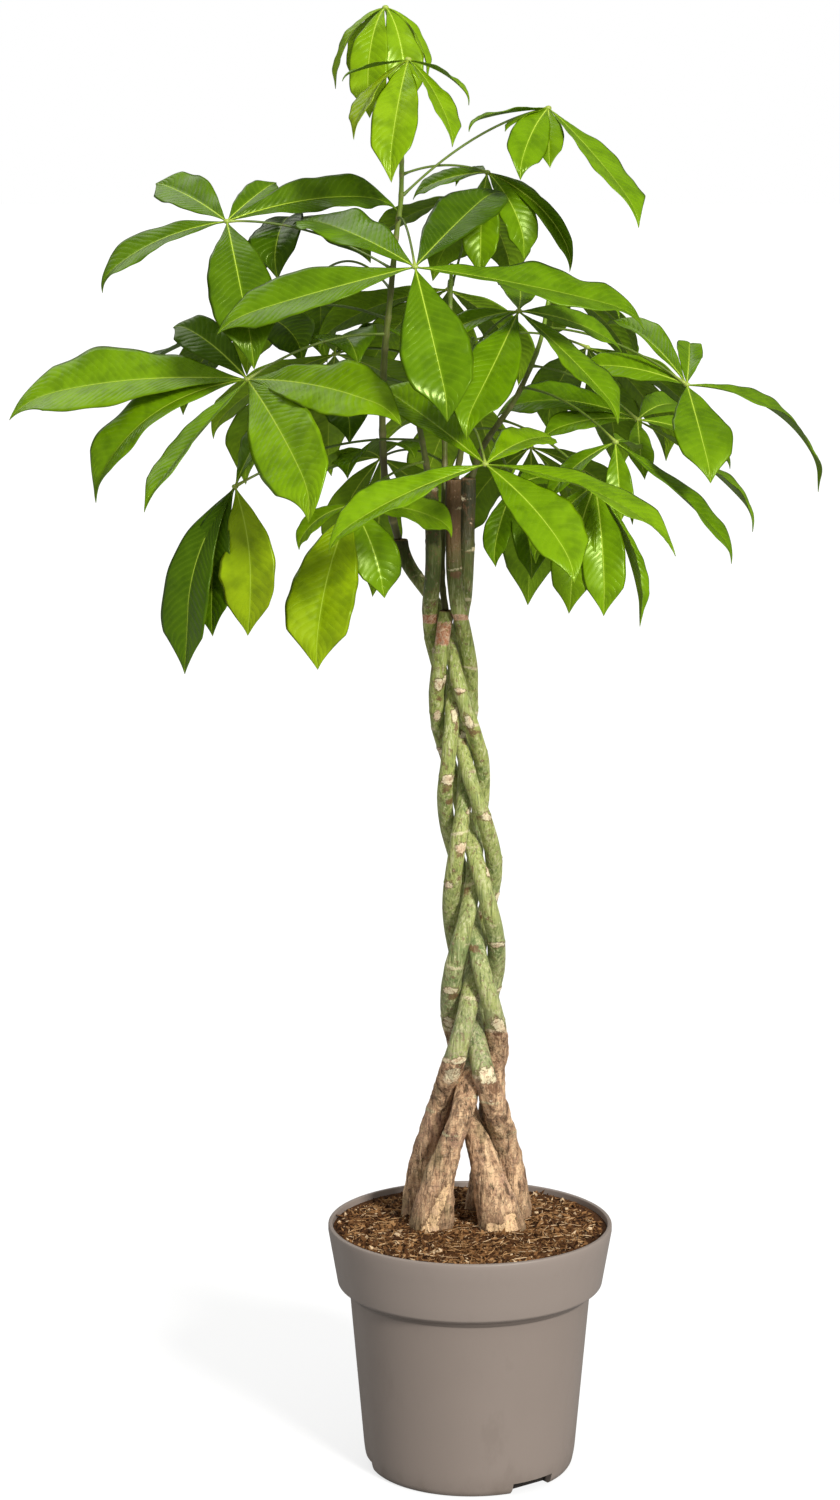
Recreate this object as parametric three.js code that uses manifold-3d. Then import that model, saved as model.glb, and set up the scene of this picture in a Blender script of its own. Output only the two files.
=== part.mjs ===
// Potted money tree: a braided five-stemmed plant in a round nursery pot.
// Millimetres, +Z up. The origin is the centre of the pot's foot, on the surface that it stands on.
// The front of the plant looks along -Y, and +X is its right-hand side as seen from the front.
// Turns are in degrees round +Z, from +X: -90 points to the front, 180 to the left.
import * as THREE from "three";
import { mergeVertices } from "three/addons/utils/BufferGeometryUtils.js";
import Module from "manifold-3d";

const wasm = await Module();
wasm.setup();

// ---------- driving dimensions ----------

const GAP = 0.4; // clearance between pieces that touch on the real plant
const DEG = Math.PI / 180;

// The pot: a 27 cm nursery pot with a band below its rim.
const POT_HEIGHT = 239;
const RIM_RADIUS = 135;
const RIM_ROLL = 3; // height of the rounded lip
const BAND_FOOT_RADIUS = 126;
const BAND_FOOT_Z = 181;
const BODY_TOP_RADIUS = 114;
const BODY_TOP_Z = 169;
const BODY_FOOT_RADIUS = 101;
const BODY_FOOT_Z = 16;
const FOOT_RADIUS = 95;
const WALL = 2.2;
const FLOOR_THICKNESS = 3;
const FLOOR_LIFT = 6; // the floor between the foot ring and the centre disc is raised
const CENTRE_DISC_RADIUS = 34;
const FOOT_RING_RADIUS = 84; // inner edge of the foot ring
const FLOOR_SLOPE = 5; // width of the slopes beside the raised floor
const POT_SIDES = 32;
const NOTCH_WIDTH = 46;
const NOTCH_HEIGHT = 11;
const NOTCH_TURNS = [-53, 67, 187];
const DRAIN_RADIUS = 6;
const DRAIN_CIRCLE_RADIUS = 60;
const DRAIN_COUNT = 6;
const DRAIN_SIDES = 8;
const DRAIN_CUT = 40; // length of the plain cutters through the floor
const NOTCH_CUT = 60;
const NOTCH_MIDDLE = 30; // middle of a notch's cutter, outside the foot ring
const FOOT_CHAMFER = [3.5, 4]; // width and height
const LEDGE = [8, 3]; // width and height of the ledge below the band
const LIP_OUTER = 1.2; // the rounded lip, inwards from the rim's radius
const LIP_INNER = 3.4;
const LIP_BACK = 4.2;

// The soil in it.
const SOIL_EDGE_Z = 233.5;
const SOIL_CENTRE_Z = 237;
const SOIL_BUMP = 1.1;
// Lobes round the pot, their twist per mm, and where they start.
const SOIL_BUMPS = [[3, 0.09, 0], [5, -0.13, 1]];
const SOIL_RINGS = [30, 65, 95, 118];
const SOIL_EDGE_RADIUS = 130.2; // it meets the lip's inside here, GAP off
const HOLE_TOP_Z = 270; // the trunks' holes in it are cut out to above its surface

// The five trunks are braided above their spread feet.
const TRUNK_SIDES = 8;
const TRUNK_STEP = 22;
const TRUNK_FOOT_Z = 168; // how far down they stand in the soil
const BRAID_FOOT_Z = 345; // where the turns in the braid are counted from
const JOIN_Z = 385; // below this each trunk runs down to its own spread foot
const JOIN_STEP = 20;
const BRAID_TOP_Z = 826;
const BRAID_PERIOD = 450;
const BRAID_SETTLE = 50; // the turning dies away over about this height above the braid
const BRAID_ROOM = 1.18; // half the braid's swing, in trunk thicknesses
const BRAID_SQUARENESS = 0.1;
const TOP_BEND_Z = 812; // above this the trunks leave the braid for their own places
// Trunk radius at heights up the plant.
const TRUNK_RADII = [[168, 15], [225, 18], [240, 17], [283, 14], [320, 12], [352, 10.3], [385, 9.3],
  [400, 9.2], [826, 7.3], [960, 7]];
// Middle of the braid, x at heights up the plant.
const BRAID_MIDDLE = [[345, 0], [400, 2.5], [455, 2.8], [571, 1.6], [685, -8.5], [751, -17], [826, -22]];
// Each trunk's place in the braid, its cut top, and the middle of its foot as [height, x, y] from the bottom up.
const TRUNKS = [
  {
    name: "trunk_left_outer", turn: 162, top: [-38, -14, 951],
    foot: [[168, -47, 31], [225, -46.5, 30], [283, -43.5, 26], [320, -36.5, 20], [352, -28, 12]],
  },
  {
    name: "trunk_left_inner", turn: 234, top: [-23, -4, 826],
    foot: [[168, -38, -7], [225, -37.5, -7], [283, -29.5, -11], [320, -19, -16], [352, -8, -19.5]],
  },
  {
    name: "trunk_right_inner", turn: 90, top: [-66, 34, 888],
    foot: [[168, 33, -8], [225, 32, -8], [283, 19, -9], [320, 7, -5], [352, -5.5, 6]],
  },
  {
    name: "trunk_right_outer", turn: 18, top: [-17, -10, 948],
    foot: [[168, 42, 31], [225, 41, 30], [283, 36.5, 18], [320, 31, 7], [352, 24, -13]],
  },
  {
    name: "trunk_back", turn: 306, top: [-3, 14, 947],
    foot: [[168, 14, 56], [225, 14, 55], [283, 18, 44], [320, 20, 34], [352, 22, 24]],
  },
];

// Green shoots from the cut tops: the middle line, and the radius at both ends.
const SHOOT_SIDES = 6;
const SHOOTS = [
  {
    name: "shoot_leader", radii: [4, 2], steps: 14,
    line: [[-68, 33, 888.5], [-78, 20, 930], [-82, 0, 992], [-80, -6, 1061], [-75, -8, 1110], [-69, -8, 1170],
      [-65, -8, 1200], [-64, -8, 1250], [-63, -8, 1292]],
  },
  {
    name: "shoot_left", radii: [3.5, 2], steps: 8,
    line: [[-40, -15, 951.5], [-44, -22, 975], [-52, -40, 1020], [-58, -52, 1070]],
  },
  {
    name: "shoot_front", radii: [3.5, 2], steps: 8,
    line: [[-15, -12, 948.5], [-10, -22, 975], [-4, -45, 1020], [0, -58, 1080]],
  },
  {
    name: "shoot_right", radii: [3.5, 2], steps: 10,
    line: [[0, 12, 947.5], [10, 12, 975], [40, 12, 1020], [62, 14, 1070], [70, 16, 1110]],
  },
  {
    name: "shoot_back", radii: [3.5, 2], steps: 12,
    line: [[-24, 0, 826.5], [-27, 7, 850], [-25, 16, 945], [-24, 50, 1010], [-20, 90, 1080], [-18, 100, 1140]],
  },
];

// ---------- leaves ----------

const HUB_RADIUS = 4;
const PETIOLE_RADIUS = 2;
const PETIOLE_SIDES = 5;
const PETIOLE_STEPS = 6;
const PETIOLE_RISE = 0.16; // how far a petiole arches above its chord, as a share of the chord
const LEAFLET_WIDTH = 0.33; // of its length
const LEAFLET_FOLD = 12; // each half rises this much from the midrib, in degrees
const LEAFLET_THICKNESS = 1.8;
const LEAFLET_THINNING = 0.5; // share of it that is lost by the tip
const LEAFLET_ROOT = 1.6; // half width where it leaves the hub
const LEAFLET_ROLL = 10;
const LEAFLET_STATIONS = [0, 0.125, 0.375, 0.625, 0.8333, 1];
const LEAFLET_INTEGRATION = 24;
const LEAFLET_RISE = 1.3; // powers of the width's growth from the root and of its fall to the tip
const LEAFLET_FALL = 0.8;
const TIP_START = 0.8; // the tip is drawn out past this share of the length
const TIP_SLIMMING = 0.3;
const TIP_POWER = 1.5;
const DROOP_POWER = 1.3;
const STEEPEST = -88; // no midrib hangs past this
const ROLL_BY_LEAF = 1.7; // radians of the roll rule's sine, for each leaf and each leaflet
const ROLL_BY_LEAFLET = 2.3;
const SEAT_GAP = 0.3; // from a petiole's root to its shoot
const SEAT_SEARCH = 20;
const SEAT_ROUNDS = 5;
const SEAT_PLACES = 4; // places tried for a root, for each step of its shoot

// One line for each palmate leaf: its shoot and the height where its petiole leaves it, the hub that
// the leaflets spread from, the way its upper face leans and how far, how far the leaflets start
// above (+) or below (-) the leaf's plane, and each leaflet's turn, length and droop at its tip, and where they
// are not left to the rule, its roll about its midrib and its width as a share of the usual one.
const LEAVES = [
  { name: "leaf_top_young", shoot: "shoot_leader", at: 1284, hub: [-79, 35, 1373], face: [-90, 10],
    lift: -8, bend: 0.6, leaflets: [[-108, 115, 78], [-62, 105, 78], [175, 92, 80], [-5, 80, 80],
      [65, 95, 78], [120, 95, 78]] },
  { name: "leaf_top_front", shoot: "shoot_leader", at: 1268, hub: [-58, -45, 1325], face: [-90, 30],
    lift: 0, leaflets: [[-99, 148, 40, -5, 0.85], [-128, 105, 45, 35], [-165, 65, 15, 35],
      [-64, 115, 35, -35], [-25, 75, 45, -40]] },
  { name: "leaf_top_right", shoot: "shoot_leader", at: 1205, hub: [69, 20, 1283], face: [-60, 30],
    lift: 0, leaflets: [[-145, 95, 15, 35], [-105, 110, 30], [-88, 84, 30], [-54, 170, 15, -14],
      [-128, 66, 15, 40]] },
  { name: "leaf_upper_left", shoot: "shoot_leader", at: 1140, hub: [-222, -20, 1182], face: [-110, 30],
    lift: 0, leaflets: [[120, 135, 10], [60, 90, 15], [176, 140, 42], [-80, 182, 42],
      [24, 170, 34, 14, 0.9]] },
  { name: "leaf_front_high", shoot: "shoot_leader", at: 1185, hub: [-52, -150, 1146], face: [-90, 40],
    lift: -12, leaflets: [[184, 186, 10], [125, 185, 20], [65, 185, 5], [0, 215, 6, -20],
      [-76, 152, 15, 0, 1.25]] },
  { name: "leaf_left_long", shoot: "shoot_leader", at: 1080, hub: [-202, -70, 1043], face: [-120, 50],
    lift: 12, leaflets: [[158, 238, 20, 12], [170, 195, 72, 8, 0.88], [-132, 165, 8, 22, 0.85], [-70, 205, 25],
      [-35, 190, 25], [110, 120, 35]] },
  { name: "leaf_left_hanging", shoot: "shoot_left", at: 985, hub: [-213, -90, 949], face: [-120, 60],
    lift: -5, leaflets: [[-137, 138, 60, 0, 1.2], [-150, 180, 60, 4], [-92, 138, 60, 0, 1.2],
      [60, 100, 40]] },
  { name: "leaf_front_low", shoot: "shoot_front", at: 1000, hub: [9, -190, 978], face: [-90, 30],
    lift: 0, leaflets: [[-155, 165, 25, 0, 0.85], [125, 170, 5, 0, 0.8], [55, 105, 35, 0, 1.25],
      [-10, 190, 42, -22], [-55, 155, 25, 0, 1.1]] },
  { name: "leaf_right_long", shoot: "shoot_right", at: 1085, hub: [195, -20, 1035], face: [-70, 30],
    lift: 0, leaflets: [[160, 105, 25, -20], [115, 160, 25, 0, 0.6], [88, 100, 15, 0, 0.8],
      [-80, 130, 15, 0, 1.3], [12, 180, 75, -15]] },
  { name: "leaf_front_middle", shoot: "shoot_front", at: 1070, hub: [40, -90, 1105], face: [-70, 30],
    lift: -12, leaflets: [[-106, 162, 5], [-35, 140, 15], [25, 120, 25], [-165, 90, 30], [90, 130, 20]] },
  { name: "leaf_upper_right", shoot: "shoot_leader", at: 1225, hub: [14, 40, 1225], face: [-90, 30],
    lift: -12, leaflets: [[162, 80, 35], [-95, 110, 40], [-50, 95, 60, 0, 1.2], [-5, 80, 50, -28],
      [-30, 128, 48, 40, 0.4], [120, 60, 60]] },
  { name: "leaf_left_low", shoot: "shoot_left", at: 965, hub: [-109, -60, 929], face: [-100, 40],
    lift: -12, leaflets: [[-110, 160, 25, 0, 1.25], [-62, 94, 50, 0, 1.5], [175, 70, 60],
      [10, 105, 42, 0, 1.3]] },
  { name: "leaf_right_low", shoot: "shoot_right", at: 1030, hub: [128, -70, 987], face: [-80, 30],
    lift: -25, leaflets: [[-80, 75, 25], [-20, 155, 15, -22], [-160, 85, 35], [70, 80, 30]] },
  { name: "leaf_right_behind", shoot: "shoot_right", at: 1050, hub: [156, 70, 996], face: [-60, 30],
    lift: 0, leaflets: [[-85, 80, 25], [-30, 160, 25, -35], [165, 140, 42, 0, 1.3],
      [-168, 100, 40, 0, 1.1], [65, 130, 45], [20, 115, 45]] },
  { name: "leaf_right_under", shoot: "shoot_right", at: 1000, hub: [112, -30, 945], face: [-80, 30],
    lift: -25, leaflets: [[-108, 125, 45], [-80, 125, 35], [-56, 140, 32, -45, 0.45], [-150, 95, 40]] },
  { name: "leaf_centre_under", shoot: "shoot_right", at: 985, hub: [40, 45, 934], face: [-80, 30],
    lift: -10, leaflets: [[-70, 95, 50], [-110, 85, 50], [-10, 100, 45], [60, 120, 45]] },
  { name: "leaf_centre_left", shoot: "shoot_leader", at: 1040, hub: [-125, 40, 1028], face: [180, 20],
    lift: 0, leaflets: [[-80, 112, 60, 0, 1.15], [-160, 100, 40], [140, 150, 40], [20, 85, 55]] },
  { name: "leaf_left_behind", shoot: "shoot_leader", at: 1095, hub: [-205, 90, 1090], face: [160, 20],
    lift: 0, leaflets: [[-172, 130, 15], [-110, 110, 45], [125, 170, 45], [70, 150, 45]] },
  { name: "leaf_upper_left_behind", shoot: "shoot_leader", at: 1155, hub: [-163, 70, 1183], face: [140, 15],
    lift: 0, leaflets: [[-100, 118, 85, 0, 1.35], [115, 130, 35], [60, 140, 35]] },
  { name: "leaf_back_left", shoot: "shoot_back", at: 1040, hub: [-130, 190, 1050], face: [120, 30],
    lift: 0, leaflets: [[180, 150, 40], [140, 185, 45], [98, 185, 40], [52, 160, 35],
      [-78, 150, 62, 0, 1.2], [-48, 150, 62, 0, 1.2]] },
  { name: "leaf_back_middle", shoot: "shoot_back", at: 1110, hub: [-20, 240, 1110], face: [90, 30],
    lift: 0, leaflets: [[170, 150, 40], [130, 180, 45], [88, 190, 45], [48, 150, 45]] },
  { name: "leaf_back_right", shoot: "shoot_back", at: 1060, hub: [115, 215, 1055], face: [60, 30],
    lift: 0, leaflets: [[105, 150, 40], [70, 180, 45], [38, 160, 45], [0, 130, 40]] },
  { name: "leaf_back_high", shoot: "shoot_back", at: 1120, hub: [10, 130, 1200], face: [70, 15],
    lift: 0, leaflets: [[150, 130, 40], [106, 170, 35], [74, 160, 40], [8, 62, 45]] },
  { name: "leaf_back_low_left", shoot: "shoot_back", at: 960, hub: [-85, 130, 955], face: [110, 40],
    lift: -10, leaflets: [[140, 115, 45], [100, 155, 45], [50, 135, 45],
      [-138, 115, 45], [-105, 110, 60, 0, 1.3], [-70, 100, 55]] },
  { name: "leaf_back_low_right", shoot: "shoot_back", at: 980, hub: [60, 190, 960], face: [75, 40],
    lift: -10, leaflets: [[130, 140, 45], [85, 180, 45], [40, 160, 45], [-5, 130, 45]] },
  { name: "leaf_back_far", shoot: "shoot_back", at: 1020, hub: [2, 290, 1005], face: [90, 35],
    lift: 0, leaflets: [[158, 110, 40], [115, 155, 45], [72, 150, 45]] },
  { name: "leaf_back_left_high", shoot: "shoot_leader", at: 1120, hub: [-140, 185, 1130], face: [125, 25],
    lift: 0, leaflets: [[175, 130, 40], [135, 160, 40], [95, 150, 40]] },
  { name: "leaf_back_right_high", shoot: "shoot_right", at: 1100, hub: [95, 140, 1110], face: [50, 30],
    lift: 0, leaflets: [[100, 85, 35], [35, 110, 35], [-5, 95, 60], [-50, 75, 45]] },
];

// ---------- materials ----------

function finish(color, roughness) {
  return new THREE.MeshStandardMaterial({ color, roughness, metalness: 0 });
}

const potFinish = finish(0x968a7f, 0.5);
const soilFinish = finish(0x4a3020, 0.95);
const barkFinish = finish(0x7d8a4f, 0.75);
const shootFinish = finish(0x6f9a3a, 0.6);
const leafFinish = finish(0x4f9c2c, 0.45);

// ---------- closed solids ----------

function toSolid(geometry) {
  const bare = geometry.clone();
  bare.deleteAttribute("normal");
  bare.deleteAttribute("uv");
  const merged = mergeVertices(bare, 1e-4);
  return new wasm.Manifold(new wasm.Mesh({
    numProp: 3,
    vertProperties: new Float32Array(merged.attributes.position.array),
    triVerts: new Uint32Array(merged.index.array),
  }));
}

function toMesh(name, solid, material) {
  const mesh = solid.getMesh();
  const geometry = new THREE.BufferGeometry();
  geometry.setAttribute("position", new THREE.BufferAttribute(mesh.vertProperties, 3));
  geometry.setIndex(new THREE.BufferAttribute(mesh.triVerts, 1));
  const node = new THREE.Mesh(geometry, material);
  node.name = name;
  return node;
}

// A closed skin over rings of points. The first ring and the last one are capped with a fan,
// and a ring of one point closes the skin by itself. flip[j] turns the diagonal of side j.
function skin(rings, flip = []) {
  const points = [];
  const starts = [];
  for (const ring of rings) {
    starts.push(points.length);
    points.push(...ring);
  }
  const index = [];
  const sides = rings[0].length;
  for (let i = 0; i + 1 < rings.length; i++) {
    for (let j = 0; j < sides; j++) {
      const k = (j + 1) % sides;
      const a = starts[i] + j;
      const b = starts[i] + k;
      if (rings[i + 1].length === 1) {
        index.push(a, b, starts[i + 1]);
        continue;
      }
      const c = starts[i + 1] + j;
      const d = starts[i + 1] + k;
      if (flip[j]) index.push(a, b, c, b, d, c);
      else index.push(a, b, d, a, d, c);
    }
  }
  const last = rings.length - 1;
  for (let j = 1; j + 1 < sides; j++) {
    index.push(0, j + 1, j);
    if (rings[last].length > 1) index.push(starts[last], starts[last] + j, starts[last] + j + 1);
  }
  const geometry = new THREE.BufferGeometry();
  const flat = points.flatMap((p) => [p.x, p.y, p.z]);
  geometry.setAttribute("position", new THREE.Float32BufferAttribute(flat, 3));
  geometry.setIndex(index);
  return geometry;
}

const UPRIGHT_LIMIT = 0.9; // a stem that starts nearer to X than this has its rings set out from Y

// A round stem along a line of points, with a radius at each point, its two ends level or square to it.
function stem(line, radii, sides, levelEnds = false) {
  const rings = [];
  let across = null;
  for (let i = 0; i < line.length; i++) {
    const isEnd = i === 0 || i === line.length - 1;
    const along = line[Math.min(i + 1, line.length - 1)].clone().sub(line[Math.max(i - 1, 0)]).normalize();
    if (isEnd && levelEnds) along.set(0, 0, 1);
    const first = Math.abs(along.x) < UPRIGHT_LIMIT ? new THREE.Vector3(1, 0, 0) : new THREE.Vector3(0, 1, 0);
    const seed = across ?? first;
    across = seed.clone().addScaledVector(along, -seed.dot(along)).normalize();
    const other = along.clone().cross(across);
    const ring = [];
    for (let j = 0; j < sides; j++) {
      const turn = (2 * Math.PI * j) / sides;
      const point = line[i].clone();
      point.addScaledVector(across, radii[i] * Math.cos(turn));
      point.addScaledVector(other, radii[i] * Math.sin(turn));
      ring.push(point);
    }
    rings.push(ring);
  }
  return skin(rings);
}

// Straight-line reading of a list of [height, value] pairs.
function readAt(pairs, z) {
  if (z <= pairs[0][0]) return pairs[0][1];
  for (let i = 1; i < pairs.length; i++) {
    const [z1, v1] = pairs[i];
    const [z0, v0] = pairs[i - 1];
    if (z <= z1) return v0 + ((v1 - v0) * (z - z0)) / (z1 - z0);
  }
  return pairs[pairs.length - 1][1];
}

function smooth(t) {
  const s = Math.min(1, Math.max(0, t));
  return s * s * (3 - 2 * s);
}

// ---------- pot ----------

function lathe(profile, sides) {
  const points = profile.map(([r, z]) => new THREE.Vector2(r, z));
  const geometry = new THREE.LatheGeometry(points, sides);
  geometry.rotateX(Math.PI / 2);
  return toSolid(geometry);
}

function floorProfile(lift) {
  return [
    [0, lift],
    [CENTRE_DISC_RADIUS, lift],
    [CENTRE_DISC_RADIUS + FLOOR_SLOPE, lift + FLOOR_LIFT],
    [FOOT_RING_RADIUS - FLOOR_SLOPE, lift + FLOOR_LIFT],
    [FOOT_RING_RADIUS, lift],
  ];
}

// Inside of the pot's wall, from the floor up to the rim.
function wallInside(gap) {
  const w = WALL + gap;
  return [
    [BODY_FOOT_RADIUS - w, BODY_FOOT_Z],
    [BODY_TOP_RADIUS - w, BODY_TOP_Z],
    [BAND_FOOT_RADIUS - w, BAND_FOOT_Z],
  ];
}

// The space of a notch in the foot, grown by its housing's wall on every side but the outer one.
function notchBlock(turn, wall) {
  const block = new THREE.BoxGeometry(NOTCH_CUT, NOTCH_WIDTH + 2 * wall, 2 * (NOTCH_HEIGHT + wall));
  block.translate(FOOT_RING_RADIUS + NOTCH_MIDDLE - wall, 0, 0);
  block.rotateZ(turn * DEG);
  return toSolid(block);
}

function makePot() {
  const outside = [
    ...floorProfile(0),
    [FOOT_RADIUS, 0],
    [FOOT_RADIUS + FOOT_CHAMFER[0], FOOT_CHAMFER[1]],
    [BODY_FOOT_RADIUS, BODY_FOOT_Z],
    [BODY_TOP_RADIUS, BODY_TOP_Z],
    [BODY_TOP_RADIUS + LEDGE[0], BODY_TOP_Z + LEDGE[1]],
    [BAND_FOOT_RADIUS, BAND_FOOT_Z],
    [RIM_RADIUS, POT_HEIGHT - 2 * RIM_ROLL],
    [RIM_RADIUS, POT_HEIGHT - RIM_ROLL / 2],
    [RIM_RADIUS - LIP_OUTER, POT_HEIGHT],
    [RIM_RADIUS - LIP_INNER, POT_HEIGHT],
    [RIM_RADIUS - LIP_BACK, POT_HEIGHT - RIM_ROLL / 2],
  ];
  const inside = [
    ...floorProfile(FLOOR_THICKNESS),
    [FOOT_RADIUS - WALL, FLOOR_THICKNESS],
    ...wallInside(0),
    [RIM_RADIUS - LIP_BACK, POT_HEIGHT - 2 * RIM_ROLL],
  ];
  const core = lathe([
    [0, FLOOR_THICKNESS / 2],
    [FOOT_RADIUS - WALL / 2, FLOOR_THICKNESS / 2],
    [BODY_FOOT_RADIUS - WALL / 2, BODY_FOOT_Z],
    [0, BODY_FOOT_Z],
  ], POT_SIDES);
  let pot = lathe([...outside, ...inside.reverse()], POT_SIDES);
  for (const turn of NOTCH_TURNS) {
    pot = pot.add(notchBlock(turn, WALL).intersect(core));
    pot = pot.subtract(notchBlock(turn, 0));
  }
  for (let i = 0; i < DRAIN_COUNT; i++) {
    const turn = (360 / DRAIN_COUNT) * i * DEG;
    const drain = new THREE.CylinderGeometry(DRAIN_RADIUS, DRAIN_RADIUS, DRAIN_CUT, DRAIN_SIDES);
    drain.rotateX(Math.PI / 2);
    drain.translate(DRAIN_CIRCLE_RADIUS * Math.cos(turn), DRAIN_CIRCLE_RADIUS * Math.sin(turn), 0);
    pot = pot.subtract(toSolid(drain));
  }
  return toMesh("pot", pot, potFinish);
}

// ---------- trunks ----------

// Where the middle of a trunk is at height z in the braid and above it.
function braidPoint(trunk, z) {
  const rate = 360 / BRAID_PERIOD;
  const settled = rate * BRAID_SETTLE;
  let turned = rate * (Math.min(z, BRAID_TOP_Z) - BRAID_FOOT_Z);
  if (z > BRAID_TOP_Z) turned += settled * (1 - Math.exp((BRAID_TOP_Z - z) / BRAID_SETTLE));
  const turn = (trunk.turn + turned) * DEG;
  const swing = BRAID_ROOM * (2 * readAt(TRUNK_RADII, z) + GAP);
  const wide = (Math.cos(turn) + BRAID_SQUARENESS * Math.cos(3 * turn)) / (1 + BRAID_SQUARENESS);
  const place = new THREE.Vector3(readAt(BRAID_MIDDLE, z) + swing * wide, -swing * Math.sin(2 * turn), z);
  const [x, y, top] = trunk.top;
  return place.lerp(new THREE.Vector3(x, y, z), smooth((z - TOP_BEND_Z) / (top - TOP_BEND_Z)));
}

// Where the middle of a trunk is at height z: below the join, on a smooth line through its foot's places.
function trunkPoint(trunk, z) {
  if (z >= JOIN_Z) return braidPoint(trunk, z);
  const knots = trunk.foot.map(([height, x, y]) => new THREE.Vector3(x, y, height));
  knots.push(braidPoint(trunk, JOIN_Z), braidPoint(trunk, JOIN_Z + JOIN_STEP));
  const above = Math.max(1, knots.findIndex((knot) => knot.z > z));
  const slopeAt = (i) => {
    const before = knots[Math.max(0, i - 1)];
    const step = knots[Math.min(knots.length - 1, i + 1)].clone().sub(before);
    return step.divideScalar(step.z);
  };
  const start = knots[above - 1];
  const rise = knots[above].z - start.z;
  const share = (z - start.z) / rise;
  const eased = share * share * (3 - 2 * share);
  const place = start.clone().lerp(knots[above], eased);
  place.addScaledVector(slopeAt(above - 1), rise * share * (1 - share) ** 2);
  place.addScaledVector(slopeAt(above), -rise * share * share * (1 - share));
  return place.setZ(z);
}

function trunkLine(trunk) {
  const top = trunk.top[2];
  const steps = Math.round((top - TRUNK_FOOT_Z) / TRUNK_STEP);
  const line = [];
  for (let i = 0; i <= steps; i++) {
    line.push(trunkPoint(trunk, TRUNK_FOOT_Z + ((top - TRUNK_FOOT_Z) * i) / steps));
  }
  return line;
}

function makeTrunk(trunk) {
  const line = trunkLine(trunk);
  const radii = line.map((p) => readAt(TRUNK_RADII, p.z));
  return toMesh(trunk.name, toSolid(stem(line, radii, TRUNK_SIDES, true)), barkFinish);
}

// ---------- soil ----------

function soilHeight(r, turn) {
  let height = SOIL_CENTRE_Z + (SOIL_EDGE_Z - SOIL_CENTRE_Z) * (r / SOIL_RINGS.at(-1)) ** 2;
  for (const [lobes, twist, start] of SOIL_BUMPS) {
    height += SOIL_BUMP * Math.sin(lobes * turn + twist * r + start);
  }
  return height;
}

function makeSoil() {
  const filling = [
    ...floorProfile(FLOOR_THICKNESS + GAP),
    [FOOT_RADIUS - WALL - 2 * GAP, FLOOR_THICKNESS + GAP],
    ...wallInside(GAP),
  ];
  const rings = [];
  const ringAt = (r, heightOf) => {
    const ring = [];
    for (let j = 0; j < POT_SIDES; j++) {
      const turn = (2 * Math.PI * j) / POT_SIDES;
      ring.push(new THREE.Vector3(r * Math.cos(turn), r * Math.sin(turn), heightOf(r, turn)));
    }
    return ring;
  };
  for (const [r, z] of filling.slice(1)) rings.push(ringAt(r, () => z));
  rings.push(ringAt(SOIL_EDGE_RADIUS, () => SOIL_EDGE_Z));
  for (const r of [...SOIL_RINGS].reverse()) rings.push(ringAt(r, soilHeight));
  rings.push([new THREE.Vector3(0, 0, SOIL_CENTRE_Z)]);
  let soil = toSolid(skin(rings));
  for (const turn of NOTCH_TURNS) soil = soil.subtract(notchBlock(turn, WALL + GAP));
  for (const trunk of TRUNKS) {
    const line = trunkLine(trunk).filter((p) => p.z < HOLE_TOP_Z);
    line[0].z -= GAP;
    const radii = line.map((p) => readAt(TRUNK_RADII, p.z) + GAP);
    soil = soil.subtract(toSolid(stem(line, radii, TRUNK_SIDES, true)));
  }
  return toMesh("soil", soil, soilFinish);
}

// ---------- shoots ----------

function shootCurve(shoot) {
  return new THREE.CatmullRomCurve3(shoot.line.map((p) => new THREE.Vector3(...p)), false, "centripetal");
}

function shootSolid(shoot) {
  const line = shootCurve(shoot).getPoints(shoot.steps);
  const [thick, thin] = shoot.radii;
  const radii = line.map((p, i) => thick + ((thin - thick) * i) / shoot.steps);
  return toSolid(stem(line, radii, SHOOT_SIDES, true));
}

// ---------- leaves ----------

// Half width of a leaflet at a share t of its length: widest past the middle, with a drawn-out tip.
function leafletShape(t) {
  const widest = LEAFLET_RISE / (LEAFLET_RISE + LEAFLET_FALL);
  const past = Math.min(1, Math.max(0, (t - TIP_START) / (1 - TIP_START)));
  const tip = 1 - TIP_SLIMMING * past ** TIP_POWER;
  return (t / widest) ** LEAFLET_RISE * ((1 - t) / (1 - widest)) ** LEAFLET_FALL * tip;
}

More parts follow.
